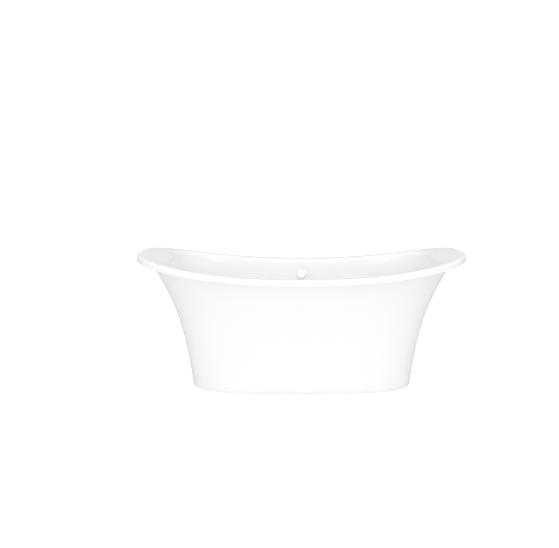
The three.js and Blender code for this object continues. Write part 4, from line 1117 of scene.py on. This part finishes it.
def make_cap():
    socket, socket_top = STEM_RADIUS + GAP, STEM_HIGH + GAP
    edge = Vector((CAP_RADIUS, CAP_EDGE))
    crown = bezier(edge, edge + Vector((0, CAP_ROUND)), Vector((CAP_CROWN, CAP_HIGH)), Vector((0, CAP_HIGH)),
                   CROWN_STEPS)
    under = soften([(0, socket_top), (socket, socket_top), (socket, CAP_LOW), (BOSS_RADIUS, CAP_LOW),
                    (BOSS_RADIUS, CAP_UNDERSIDE), (CAP_RADIUS, CAP_UNDERSIDE), edge], radius=0.0004)
    return turned(under + crown, steps=96)


def make_seal():
    outer, low, high = extent("plug_seal")
    return tube(outer, outer - SEAL_WIDTH, low, high, rounding=0.0006)


finish_piece(make_cap(), "plug_cap")
finish_piece(make_seal(), "plug_seal")

# %% [markdown]
# ## The waste
#
# Under the floor the drain screws into a plastic waste body, which tapers to its outlet. The overflow's hose
# joins it at a port on the side. The body is spun, and the port is joined as a rod and bored.

# %% Waste body
waste_low, waste_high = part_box("waste_body")
WASTE_BOTTOM, WASTE_TOP = waste_low.z, waste_high.z
WASTE_FLANGE_RADIUS, PORT_REACH = -waste_low.y, waste_high.y
WASTE_FLANGE = 0.004
WASTE_RADIUS = 0.031
WASTE_BORE = DRAIN_TUBE + THREAD_GAP
OUTLET_RADIUS = 0.021
OUTLET_BORE = 0.0165
OUTLET_TOP = WASTE_BOTTOM + 0.026
TAPER = 0.016
BORE_TAPER_LOW = 0.006
BORE_TAPER_HIGH = 0.020
PORT_HEIGHT = WASTE_TOP - 0.062


def make_waste_body():
    body = turned([
        (OUTLET_BORE, WASTE_BOTTOM), (OUTLET_RADIUS, WASTE_BOTTOM), (OUTLET_RADIUS, OUTLET_TOP),
        (WASTE_RADIUS, OUTLET_TOP + TAPER), (WASTE_RADIUS, WASTE_TOP - WASTE_FLANGE),
        (WASTE_FLANGE_RADIUS, WASTE_TOP - WASTE_FLANGE), (WASTE_FLANGE_RADIUS, WASTE_TOP), (WASTE_BORE, WASTE_TOP),
        (WASTE_BORE, OUTLET_TOP + BORE_TAPER_HIGH), (OUTLET_BORE, OUTLET_TOP + BORE_TAPER_LOW)],
        rounding=0.0012)
    sideways = Matrix.Translation((0, 0, PORT_HEIGHT)) @ Matrix.Rotation(-math.pi / 2, 4, "X")
    body = boolean(body, moved(rod(PORT_RADIUS, WASTE_BORE + THREAD_GAP, PORT_REACH), sideways), "UNION")
    return drilled(body, PORT_BORE, 0, PORT_REACH + CUT, sideways, PORT_STEPS)


finish_piece(make_waste_body(), "waste_body")

# %% [markdown]
# A short tail pipe hangs from the outlet by its collar. The nut that holds it is tightened by hand, so its side
# is fluted: it is spun in many steps, and each point is pressed in by a wave round the axis.

# %% Tail pipe and nut
TAIL_RADIUS = 0.019
NUT_FLOOR = 0.003


def make_tail_pipe():
    collar, low, high = extent("tail_pipe")
    return turned([(OUTLET_BORE, low), (TAIL_RADIUS, low), (TAIL_RADIUS, high - WASTE_FLANGE),
                   (collar, high - WASTE_FLANGE), (collar, high), (OUTLET_BORE, high)], rounding=0.0006)


def make_tail_nut():
    outer, low, high = extent("tail_nut")
    mouth, bore = TAIL_RADIUS + THREAD_GAP, OUTLET_RADIUS + THREAD_GAP
    nut = turned([(mouth, low), (outer, low), (outer, high), (bore, high), (bore, low + NUT_FLOOR),
                  (mouth, low + NUT_FLOOR)], rounding=0.001, steps=192)
    return flute(nut, above=outer - 0.0015, count=24, depth=0.0008)


finish_piece(make_tail_pipe(), "tail_pipe")
finish_piece(make_tail_nut(), "tail_nut")

# %% [markdown]
# ## The overflow hose
#
# A ribbed hose falls through the cavity between the basin and the skirt, turns under the frame and ends at the
# waste body. Its path runs half-way between the two walls, straight out of both joints. A centripetal spline
# joins the points, because it doesn't loop where they lie close together.

# %% Path of the hose
HOSE_RADIUS = 0.012
HOSE_GROOVE = 0.0016
HOSE_WALL = 0.0016
HOSE_RIB = 0.004
HOSE_TURN_TOP = 0.260
HOSE_TURN_REACH = 0.105
NUT_GRIP = 0.010


def cavity_middle(height):
    """Half-way between the basin and the skirt, on the middle plane."""
    lean, wet = far_wall(height)
    skirt_inside = flare_at(SIDE_FLARE, skirt_share(height, SKIRT_TOP_MID)) - SKIRT_WALL
    return Vector((0, (wet + BASIN_WALL / math.cos(lean) + skirt_inside) / 2, height))


def smooth_route(points, steps=24):
    """A centripetal Catmull-Rom curve through the points."""
    first, last = 2 * points[0] - points[1], 2 * points[-1] - points[-2]
    route = []
    for p0, p1, p2, p3 in zip([first] + points, points, points[1:], points[2:] + [last]):
        t1 = (p1 - p0).length ** 0.5
        t2 = t1 + (p2 - p1).length ** 0.5
        t3 = t2 + (p3 - p2).length ** 0.5
        for step in range(steps):
            t = mix(t1, t2, step / steps)
            a1, a2, a3 = mix(p0, p1, t / t1), mix(p1, p2, (t - t1) / (t2 - t1)), mix(p2, p3, (t - t2) / (t3 - t2))
            b1, b2 = mix(a1, a2, t / t2), mix(a2, a3, (t - t1) / (t3 - t1))
            route.append(mix(b1, b2, (t - t1) / (t2 - t1)))
    return route + [points[-1]]


hose_start = overflow_frame @ Vector((0, -ELBOW_OUTLET - GAP, ELBOW_AXIS))
start_way = overflow_frame.to_3x3() @ Vector((0, -1, 0))
hose_end = Vector((0, PORT_REACH + GAP, PORT_HEIGHT))
end_way = Vector((0, 1, 0))
turn_start = cavity_middle(HOSE_TURN_TOP)
turn_drop = HOSE_TURN_TOP - PORT_HEIGHT
bend = [turn_start - Vector((0, HOSE_TURN_REACH * (1 - math.cos(turn)), turn_drop * math.sin(turn)))
        for turn in (math.pi / 6, math.pi / 3, math.pi / 2)]
hose_points = [hose_start, hose_start + start_way * NUT_GRIP, hose_start + start_way * 2 * NUT_GRIP,
               cavity_middle(mix(hose_start.z, HOSE_TURN_TOP, 0.4)),
               cavity_middle(mix(hose_start.z, HOSE_TURN_TOP, 0.7)), turn_start, *bend,
               hose_end + end_way * 2 * NUT_GRIP, hose_end + end_way * NUT_GRIP, hose_end]
hose_route = smooth_route(hose_points)
hose_length = sum((b - a).length for a, b in zip(hose_route, hose_route[1:]))
print("hose", round(hose_length, 3), "m long")

# %% [markdown]
# The hose is swept along that path. Its radius swells and shrinks six steps to a rib, which makes the grooves,
# and the stations come back inside it for the bore.

# %% Hose
RIB_STEPS = 6


def along_route(route, count):
    """Places and directions at equal distances along a route."""
    lengths = [(b - a).length for a, b in zip(route, route[1:])]
    spacing = sum(lengths) / count
    places, index, passed = [], 0, 0.0
    for step in range(count + 1):
        while index < len(lengths) - 1 and passed + lengths[index] < step * spacing:
            passed += lengths[index]
            index += 1
        share = (step * spacing - passed) / lengths[index]
        places.append((mix(route[index], route[index + 1], share), (route[index + 1] - route[index]).normalized()))
    return places


def make_hose():
    ribs = round(hose_length / HOSE_RIB)
    across = Vector((1, 0, 0))
    outside = []
    for step, (centre, way) in enumerate(along_route(hose_route, ribs * RIB_STEPS)):
        groove = HOSE_GROOVE * (1 - math.cos(2 * math.pi * step / RIB_STEPS)) / 2
        outside.append(Station(centre, across, way.cross(across), HOSE_RADIUS - groove))
    inside = [station._replace(radius=HOSE_RADIUS - HOSE_GROOVE - HOSE_WALL) for station in outside[::RIB_STEPS]]
    return sweep(outside + inside[::-1], points=32, closed=True)


finish_piece(make_hose(), "overflow_hose")

# %% [markdown]
# A fluted nut holds each end of the hose on its port. One nut is drawn about +Z, and a turn puts it along the
# hose at either joint.

# %% Hose nuts
def make_hose_nut():
    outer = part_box("hose_nut_top")[1].x
    mouth, bore, bevel = PORT_RADIUS + GAP, HOSE_RADIUS + THREAD_GAP, outer - 0.001
    nut = turned([(mouth, -NUT_GRIP), (outer, -NUT_GRIP), (outer, NUT_GRIP - 0.002), (bevel, NUT_GRIP),
                  (bore, NUT_GRIP), (bore, 0), (mouth, 0)], rounding=0.0006, steps=144)
    return flute(nut, above=outer - 0.0012, count=18, depth=0.0006)


def at_joint(joint, way):
    """The move that puts a nut's zero at a joint, and turns its +Z along the hose."""
    return Matrix.Translation(joint) @ Vector((0, 0, 1)).rotation_difference(way).to_matrix().to_4x4()


for node, joint, way in (("hose_nut_top", hose_start, start_way), ("hose_nut_bottom", hose_end, end_way)):
    finish_piece(moved(make_hose_nut(), at_joint(joint, way)), node)

# %% [markdown]
# ## The frame under the bath
#
# A plywood board is bonded under the floor of the basin. Two square steel tubes run along it and two lie across
# them, over the feet, and a bolt goes through each crossing into the board. The board is a block whose upright
# edges get a wide bevel and whose rims a fine one, and its holes are drilled with Booleans.

# %% Base board
BAR_X = middle("cross_bar_right").x
RAIL_Y = middle("frame_rail_back").y
BOARD_CORNER = 0.060
BOARD_EDGE = 0.0008
BOARD_HOLE = 0.056
BOLT_RADIUS = 0.004
BOLT_TOP = extent("rail_bolt_back_right")[2]
BOLT_HOLE = BOLT_RADIUS + THREAD_GAP


def block(node, growth=(0, 0, 0)):
    """A block as large as a construction piece, or larger or smaller all round."""
    low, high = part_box(node)
    return slab(high - low + 2 * Vector(growth), middle(node))


def along_edges(bm, direction):
    """The edges that run in a direction."""
    return [edge for edge in bm.edges
            if abs((edge.verts[1].co - edge.verts[0].co).normalized().dot(direction)) > 0.99]


def upright_holes(bm, node, radius, places, depth=None):
    """Drills a piece from below, to a depth or right through."""
    _, low, high = extent(node)
    for x, y in places:
        bm = drilled(bm, radius, low - CUT, low + depth if depth else high + CUT, Matrix.Translation((x, y, 0)))
    return bm


def make_board(node):
    bm = block(node)
    rounded(bm, along_edges(bm, Vector((0, 0, 1))), BOARD_CORNER, segments=16)
    rims = [edge for edge in bm.edges if edge.calc_face_angle(0) > math.pi / 3]
    bm = upright_holes(rounded(bm, rims, BOARD_EDGE, segments=2), node, BOARD_HOLE, [(0, 0)])
    bolts = [(side * BAR_X, face * RAIL_Y) for side, face in CORNERS.values()]
    return upright_holes(bm, node, BOLT_HOLE, bolts, depth=BOLT_TOP + THREAD_GAP - extent(node)[1])


finish_piece(make_board("base_board"), "base_board")

# %% [markdown]
# The steel tubes are rolled, so their long edges are rounded outside and almost sharp inside. One block is cut
# from another, which leaves the ends open, and the holes for bolts and feet are drilled through.

# %% Rails and cross bars
FOOT_Y = middle("foot_stud_back_right").y
FOOT_HOLE = 0.007
TUBE_WALL = 0.002
TUBE_ROUND = 0.0028
TUBE_INNER_ROUND = 0.001


def make_tube(node, along):
    outside = block(node)
    inside = block(node, [CUT if share else -TUBE_WALL for share in along])
    return boolean(rounded(outside, along_edges(outside, along), TUBE_ROUND, segments=4),
                   rounded(inside, along_edges(inside, along), TUBE_INNER_ROUND, segments=3), "DIFFERENCE")


def make_rail(node):
    bolts = [(side * BAR_X, middle(node).y) for side in (-1, 1)]
    return upright_holes(make_tube(node, Vector((1, 0, 0))), node, BOLT_HOLE, bolts)


def make_bar(node):
    bm = make_tube(node, Vector((0, 1, 0)))
    for radius, reach in ((BOLT_HOLE, RAIL_Y), (FOOT_HOLE, FOOT_Y)):
        bm = upright_holes(bm, node, radius, [(middle(node).x, face * reach) for face in (-1, 1)])
    return bm


for node, make in (("frame_rail_front", make_rail), ("frame_rail_back", make_rail),
                   ("cross_bar_left", make_bar), ("cross_bar_right", make_bar)):
    finish_piece(make(node), node)

# %% [markdown]
# ## Bolts and feet
#
# Each foot is a pad with a threaded stud in it. The stud has a hexagon for a spanner, and it passes through a
# lock nut and a nut welded under the cross bar, so turning it lifts the bath. Pad and stud move, the nuts stay.
#
# A real nut is a hexagonal bar whose corners are turned off on a lathe. It is made the same way here: a prism
# intersected with a turned shape.

# %% Nuts
STUD_RADIUS = 0.006
NUT_ACROSS = 0.019
NUT_BORE = STUD_RADIUS + THREAD_GAP
NUT_BEVEL = 0.001


def hexagon(across, low, high, chamfer):
    """A hexagonal prism whose corners are turned off at both ends."""
    corner = across / math.sqrt(3)
    prism = bmesh.new()
    bmesh.ops.create_cone(prism, cap_ends=True, segments=6, radius1=corner, radius2=corner, depth=high - low)
    prism = moved(prism, Matrix.Translation((0, 0, (low + high) / 2)))
    past = corner * 1.02
    lathe = turned([(0, low), (across / 2, low), (past, low + chamfer), (past, high - chamfer),
                    (across / 2, high), (0, high)])
    return boolean(prism, lathe, "INTERSECT")


def make_nut(node):
    _, low, high = extent(node)
    mouth = NUT_BORE + NUT_BEVEL
    bore = turned([(0, low - NUT_BEVEL), (mouth, low - NUT_BEVEL), (NUT_BORE, low + NUT_BEVEL),
                   (NUT_BORE, high - NUT_BEVEL), (mouth, high + NUT_BEVEL), (0, high + NUT_BEVEL)], steps=32)
    return boolean(hexagon(NUT_ACROSS, low, high, chamfer=0.0012), bore, "DIFFERENCE")


print("nuts", NUT_ACROSS, "m across")

# %% [markdown]
# The pad is turned rubber-faced plastic with a socket, and the stud ends in it. The stud's thread is drawn with
# its real pitch, because a foot that extends by one pitch turns once.

# %% Pads and studs
STUD_PITCH = 0.00175
STUD_THREAD = 0.0008
STUD_HEX_ACROSS = 0.015
STUD_HEX_HEIGHT = 0.010
STUD_HEX_LIFT = 0.003
PAD_NECK_RADIUS = 0.012
PAD_SHOULDER = 0.012
PAD_EDGE = 0.007


def make_stud(node):
    _, low, high = extent(node)
    hex_low = extent(node.replace("stud", "pad"))[2] + STUD_HEX_LIFT
    hex_high, core = hex_low + STUD_HEX_HEIGHT, STUD_RADIUS - 0.0005
    thread_low = hex_high - 0.004
    outline = [(0, low), (core - 0.0005, low), (core, low + 0.0005), (core, thread_low - 0.001)]
    outline += thread(STUD_RADIUS, thread_low, high - 0.001, STUD_PITCH, STUD_THREAD)
    outline += [(STUD_RADIUS - 0.0015, high), (0, high)]
    return boolean(turned(outline, steps=32), hexagon(STUD_HEX_ACROSS, hex_low, hex_high, chamfer=0.001),
                   "UNION")


def make_pad(node):
    outer, low, high = extent(node)
    return turned([(0, low), (outer, low), (outer, PAD_EDGE), (PAD_NECK_RADIUS, PAD_SHOULDER),
                   (PAD_NECK_RADIUS - 0.001, high), (NUT_BORE, high), (NUT_BORE, PAD_SHOULDER),
                   (0, PAD_SHOULDER)], rounding=0.0015)


print("one turn moves a foot by", STUD_PITCH, "m")

# %% [markdown]
# The bolts go up through bar and rail, and only their last centimetre and a half is threaded, for the inserts in
# the board. Their hexagon heads show below the cross bars.

# %% Rail bolts
BOLT_PITCH = 0.00125
BOLT_THREAD = 0.0006
BOLT_THREADED = 0.0147
BOLT_HEX_ACROSS = 0.013
BOLT_HEX_HEIGHT = 0.006


def make_rail_bolt(node):
    _, low, high = extent(node)
    root, thread_low = low + BOLT_HEX_HEIGHT / 3, high - BOLT_THREADED
    outline = [(0, root), (BOLT_RADIUS, root), (BOLT_RADIUS, thread_low - 0.001)]
    outline += thread(BOLT_RADIUS, thread_low, high - 0.0008, BOLT_PITCH, BOLT_THREAD)
    outline += [(BOLT_RADIUS - 0.001, high), (0, high)]
    head = hexagon(BOLT_HEX_ACROSS, low, low + BOLT_HEX_HEIGHT, chamfer=0.0008)
    return boolean(turned(outline, steps=32), head, "UNION")


print("bolts", BOLT_RADIUS * 2, "m thick")

# %% [markdown]
# Bolts and feet are drawn on the +Z axis at their real height, so each only has to move in plan, to the middle
# of its own construction piece.

# %% Four of each
for corner in CORNERS:
    for kind, make in (("foot_pad_", make_pad), ("foot_stud_", make_stud), ("lock_nut_", make_nut),
                       ("weld_nut_", make_nut), ("rail_bolt_", make_rail_bolt)):
        place = middle(kind + corner)
        finish_piece(moved(make(kind + corner), Matrix.Translation((place.x, place.y, 0))), kind + corner)

# %% [markdown]
# ## Ties to the skirt
#
# A bent bracket on each end of the cross bars is screwed to a timber block inside the skirt. It is sheet steel,
# so its outline is drawn in plan, with an arc inside and outside the bend, and extruded to the bar's height. It
# is drawn at the back on the right, and reflected to the other three corners.

# %% Brackets
bracket_low, bracket_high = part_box("skirt_bracket_back_right")
tie = middle("tie_screw_back_right")
BRACKET_THICKNESS = 0.003
BRACKET_BEND = 0.005
TIE_RADIUS = 0.0025
to_back = Matrix.Translation((tie.x, 0, tie.z)) @ Matrix.Rotation(-math.pi / 2, 4, "X")


def extruded(outline, low, high):
    """A flat outline in plan, raised from one height to another."""
    bm = bmesh.new()
    face = bm.faces.new([bm.verts.new((*point, low)) for point in outline])
    raised = bmesh.ops.extrude_face_region(bm, geom=[face])["geom"]
    raised_verts = [item for item in raised if isinstance(item, bmesh.types.BMVert)]
    bmesh.ops.translate(bm, vec=(0, 0, high - low), verts=raised_verts)
    bmesh.ops.recalc_face_normals(bm, faces=bm.faces)
    return bm


def make_bracket():
    left, near, right, far = bracket_low.x, bracket_low.y, bracket_high.x, bracket_high.y
    inner = left + BRACKET_THICKNESS
    bend = Vector((left + BRACKET_BEND, far - BRACKET_BEND))
    outline = [Vector((left, near)), Vector((inner, near)), Vector((inner, bend.y)),
               *arc(bend, BRACKET_BEND - BRACKET_THICKNESS, math.pi, math.pi / 2, 6),
               Vector((right, far - BRACKET_THICKNESS)), Vector((right, far)), Vector((bend.x, far)),
               *arc(bend, BRACKET_BEND, math.pi / 2, math.pi, 6)]
    plate = extruded(outline, bracket_low.z, bracket_high.z)
    return drilled(plate, TIE_RADIUS + GAP, far - BRACKET_THICKNESS - CUT, far + CUT, to_back)


for corner, (side, face) in CORNERS.items():
    finish_piece(moved(make_bracket(), Matrix.Diagonal((side, face, 1, 1))), "skirt_bracket_" + corner)

# %% [markdown]
# One wood screw goes through each bracket into its block. The blocks are scribed to the skirt's curve, so their
# construction shape is kept, and they only take the plywood finish.

# %% Tie screws and blocks
tie_low, tie_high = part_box("tie_screw_back_right")
TIE_HEAD_RADIUS = 0.005
TIE_HEAD_HEIGHT = 0.0026
TIE_PITCH = 0.00125
TIE_THREAD = 0.0007
TIE_SHANK = 0.004
TIE_POINT = 0.0035


def make_tie_screw():
    """A countersunk wood screw, its head at the bottom and its point up. The cross is cut upside down."""
    length = tie_high.y - tie_low.y - TIE_HEAD_HEIGHT
    outline = soften([(0, -TIE_HEAD_HEIGHT), (0.6 * TIE_HEAD_RADIUS, -TIE_HEAD_HEIGHT), (TIE_HEAD_RADIUS, -GAP),
                      (TIE_HEAD_RADIUS, 0), (TIE_RADIUS, 0)], radius=0.0006)
    outline += [(TIE_RADIUS, TIE_SHANK)]
    outline += thread(TIE_RADIUS, TIE_SHANK + 0.0005, length - TIE_POINT, TIE_PITCH, TIE_THREAD) + [(0, length)]
    upside_down = Matrix.Rotation(math.pi, 4, "X")
    screw = cross_recess(moved(turned(outline, steps=32), upside_down), TIE_HEAD_HEIGHT, depth=0.0014,
                         reach=0.0042, width=0.001)
    return moved(screw, to_back @ Matrix.Translation((0, 0, tie_low.y + TIE_HEAD_HEIGHT)) @ upside_down.inverted())


for corner, (side, face) in CORNERS.items():
    finish_piece(moved(make_tie_screw(), Matrix.Diagonal((side, face, 1, 1))), "tie_screw_" + corner)
    nodes["skirt_block_" + corner].material_slots[0].material = finishes["board_timber"]

# %% [markdown]
# ## The studio
#
# A glossy white body shows only what is around it, so the studio is drawn by its light. The white surroundings
# are brightest low down on the camera's side, and fade towards the back and the top. The camera itself sees
# them plain white.

# %% Surroundings
SKY_BRIGHTEST = 1.05
SKY_DARKEST = 0.64
BRIGHTEST_WAY = (0, -0.577, -0.8165)

world = bpy.data.worlds.new("studio")
bpy.context.scene.world = world
world.use_nodes = True
sky = world.node_tree
background = sky.nodes["Background"]
background.inputs["Color"].default_value = (1, 1, 1, 1)
direction = sky.nodes.new("ShaderNodeTexCoord")
facing = sky.nodes.new("ShaderNodeVectorMath")
facing.operation = "DOT_PRODUCT"
facing.inputs[1].default_value = BRIGHTEST_WAY
brightness = sky.nodes.new("ShaderNodeMapRange")
for socket, value in (("From Min", -1), ("From Max", 1), ("To Min", SKY_DARKEST), ("To Max", SKY_BRIGHTEST)):
    brightness.inputs[socket].default_value = value
sky.links.new(direction.outputs["Generated"], facing.inputs[0])
sky.links.new(facing.outputs["Value"], brightness.inputs["Value"])
bpy.context.scene.view_settings.view_transform = "Standard"


def for_camera(tree, other, direct, target):
    """Feeds a socket one value for the camera's own rays and another for every other ray."""
    path = tree.nodes.new("ShaderNodeLightPath")
    choice = tree.nodes.new("ShaderNodeMix")
    choice.data_type = "FLOAT"
    choice.inputs["B"].default_value = direct
    if isinstance(other, float):
        choice.inputs["A"].default_value = other
    else:
        tree.links.new(other, choice.inputs["A"])
    tree.links.new(path.outputs["Is Camera Ray"], choice.inputs["Factor"])
    tree.links.new(choice.outputs["Result"], target)


for_camera(sky, brightness.outputs["Result"], 1.0, background.inputs["Strength"])
print("surroundings from", SKY_DARKEST, "to", SKY_BRIGHTEST)

# %% [markdown]
# The floor is a matt white sheet. It glows a little for the camera alone, so it meets the surroundings without
# a horizon. A wide softbox in front and a smaller one above fill the front of the skirt and the rim.

# %% Floor and softboxes
FLOOR_REACH = 30
FLOOR_WHITE = 0.825
FLOOR_GLOW = 0.6
LIGHT_TARGET = Vector((0, 0, 0.5))

floor_bm = bmesh.new()
bmesh.ops.create_grid(floor_bm, x_segments=1, y_segments=1, size=FLOOR_REACH)
floor = new_object(floor_bm, "floor")
floor_white = new_surface("floor_white", (FLOOR_WHITE,) * 3, 0.9)
floor_shader = floor_white.node_tree.nodes["Principled BSDF"]
floor_shader.inputs["Specular IOR Level"].default_value = 0
floor_shader.inputs["Emission Color"].default_value = (1, 1, 1, 1)
for_camera(floor_white.node_tree, 0.0, FLOOR_GLOW, floor_shader.inputs["Emission Strength"])
floor.data.materials.append(floor_white)


def softbox(name, place, width, depth, power):
    light = bpy.data.lights.new(name, "AREA")
    light.shape = "RECTANGLE"
    light.size = width
    light.size_y = depth
    light.energy = power
    lamp = bpy.data.objects.new(name, light)
    lamp.location = place
    lamp.rotation_euler = (LIGHT_TARGET - Vector(place)).to_track_quat("-Z", "Y").to_euler()
    bpy.context.scene.collection.objects.link(lamp)
    print(name, "softbox,", power, "W")


softbox("front", place=(0, -5, 1.2), width=5, depth=2.2, power=72)
softbox("top", place=(0, -1.2, 3.2), width=3.5, depth=2, power=33)
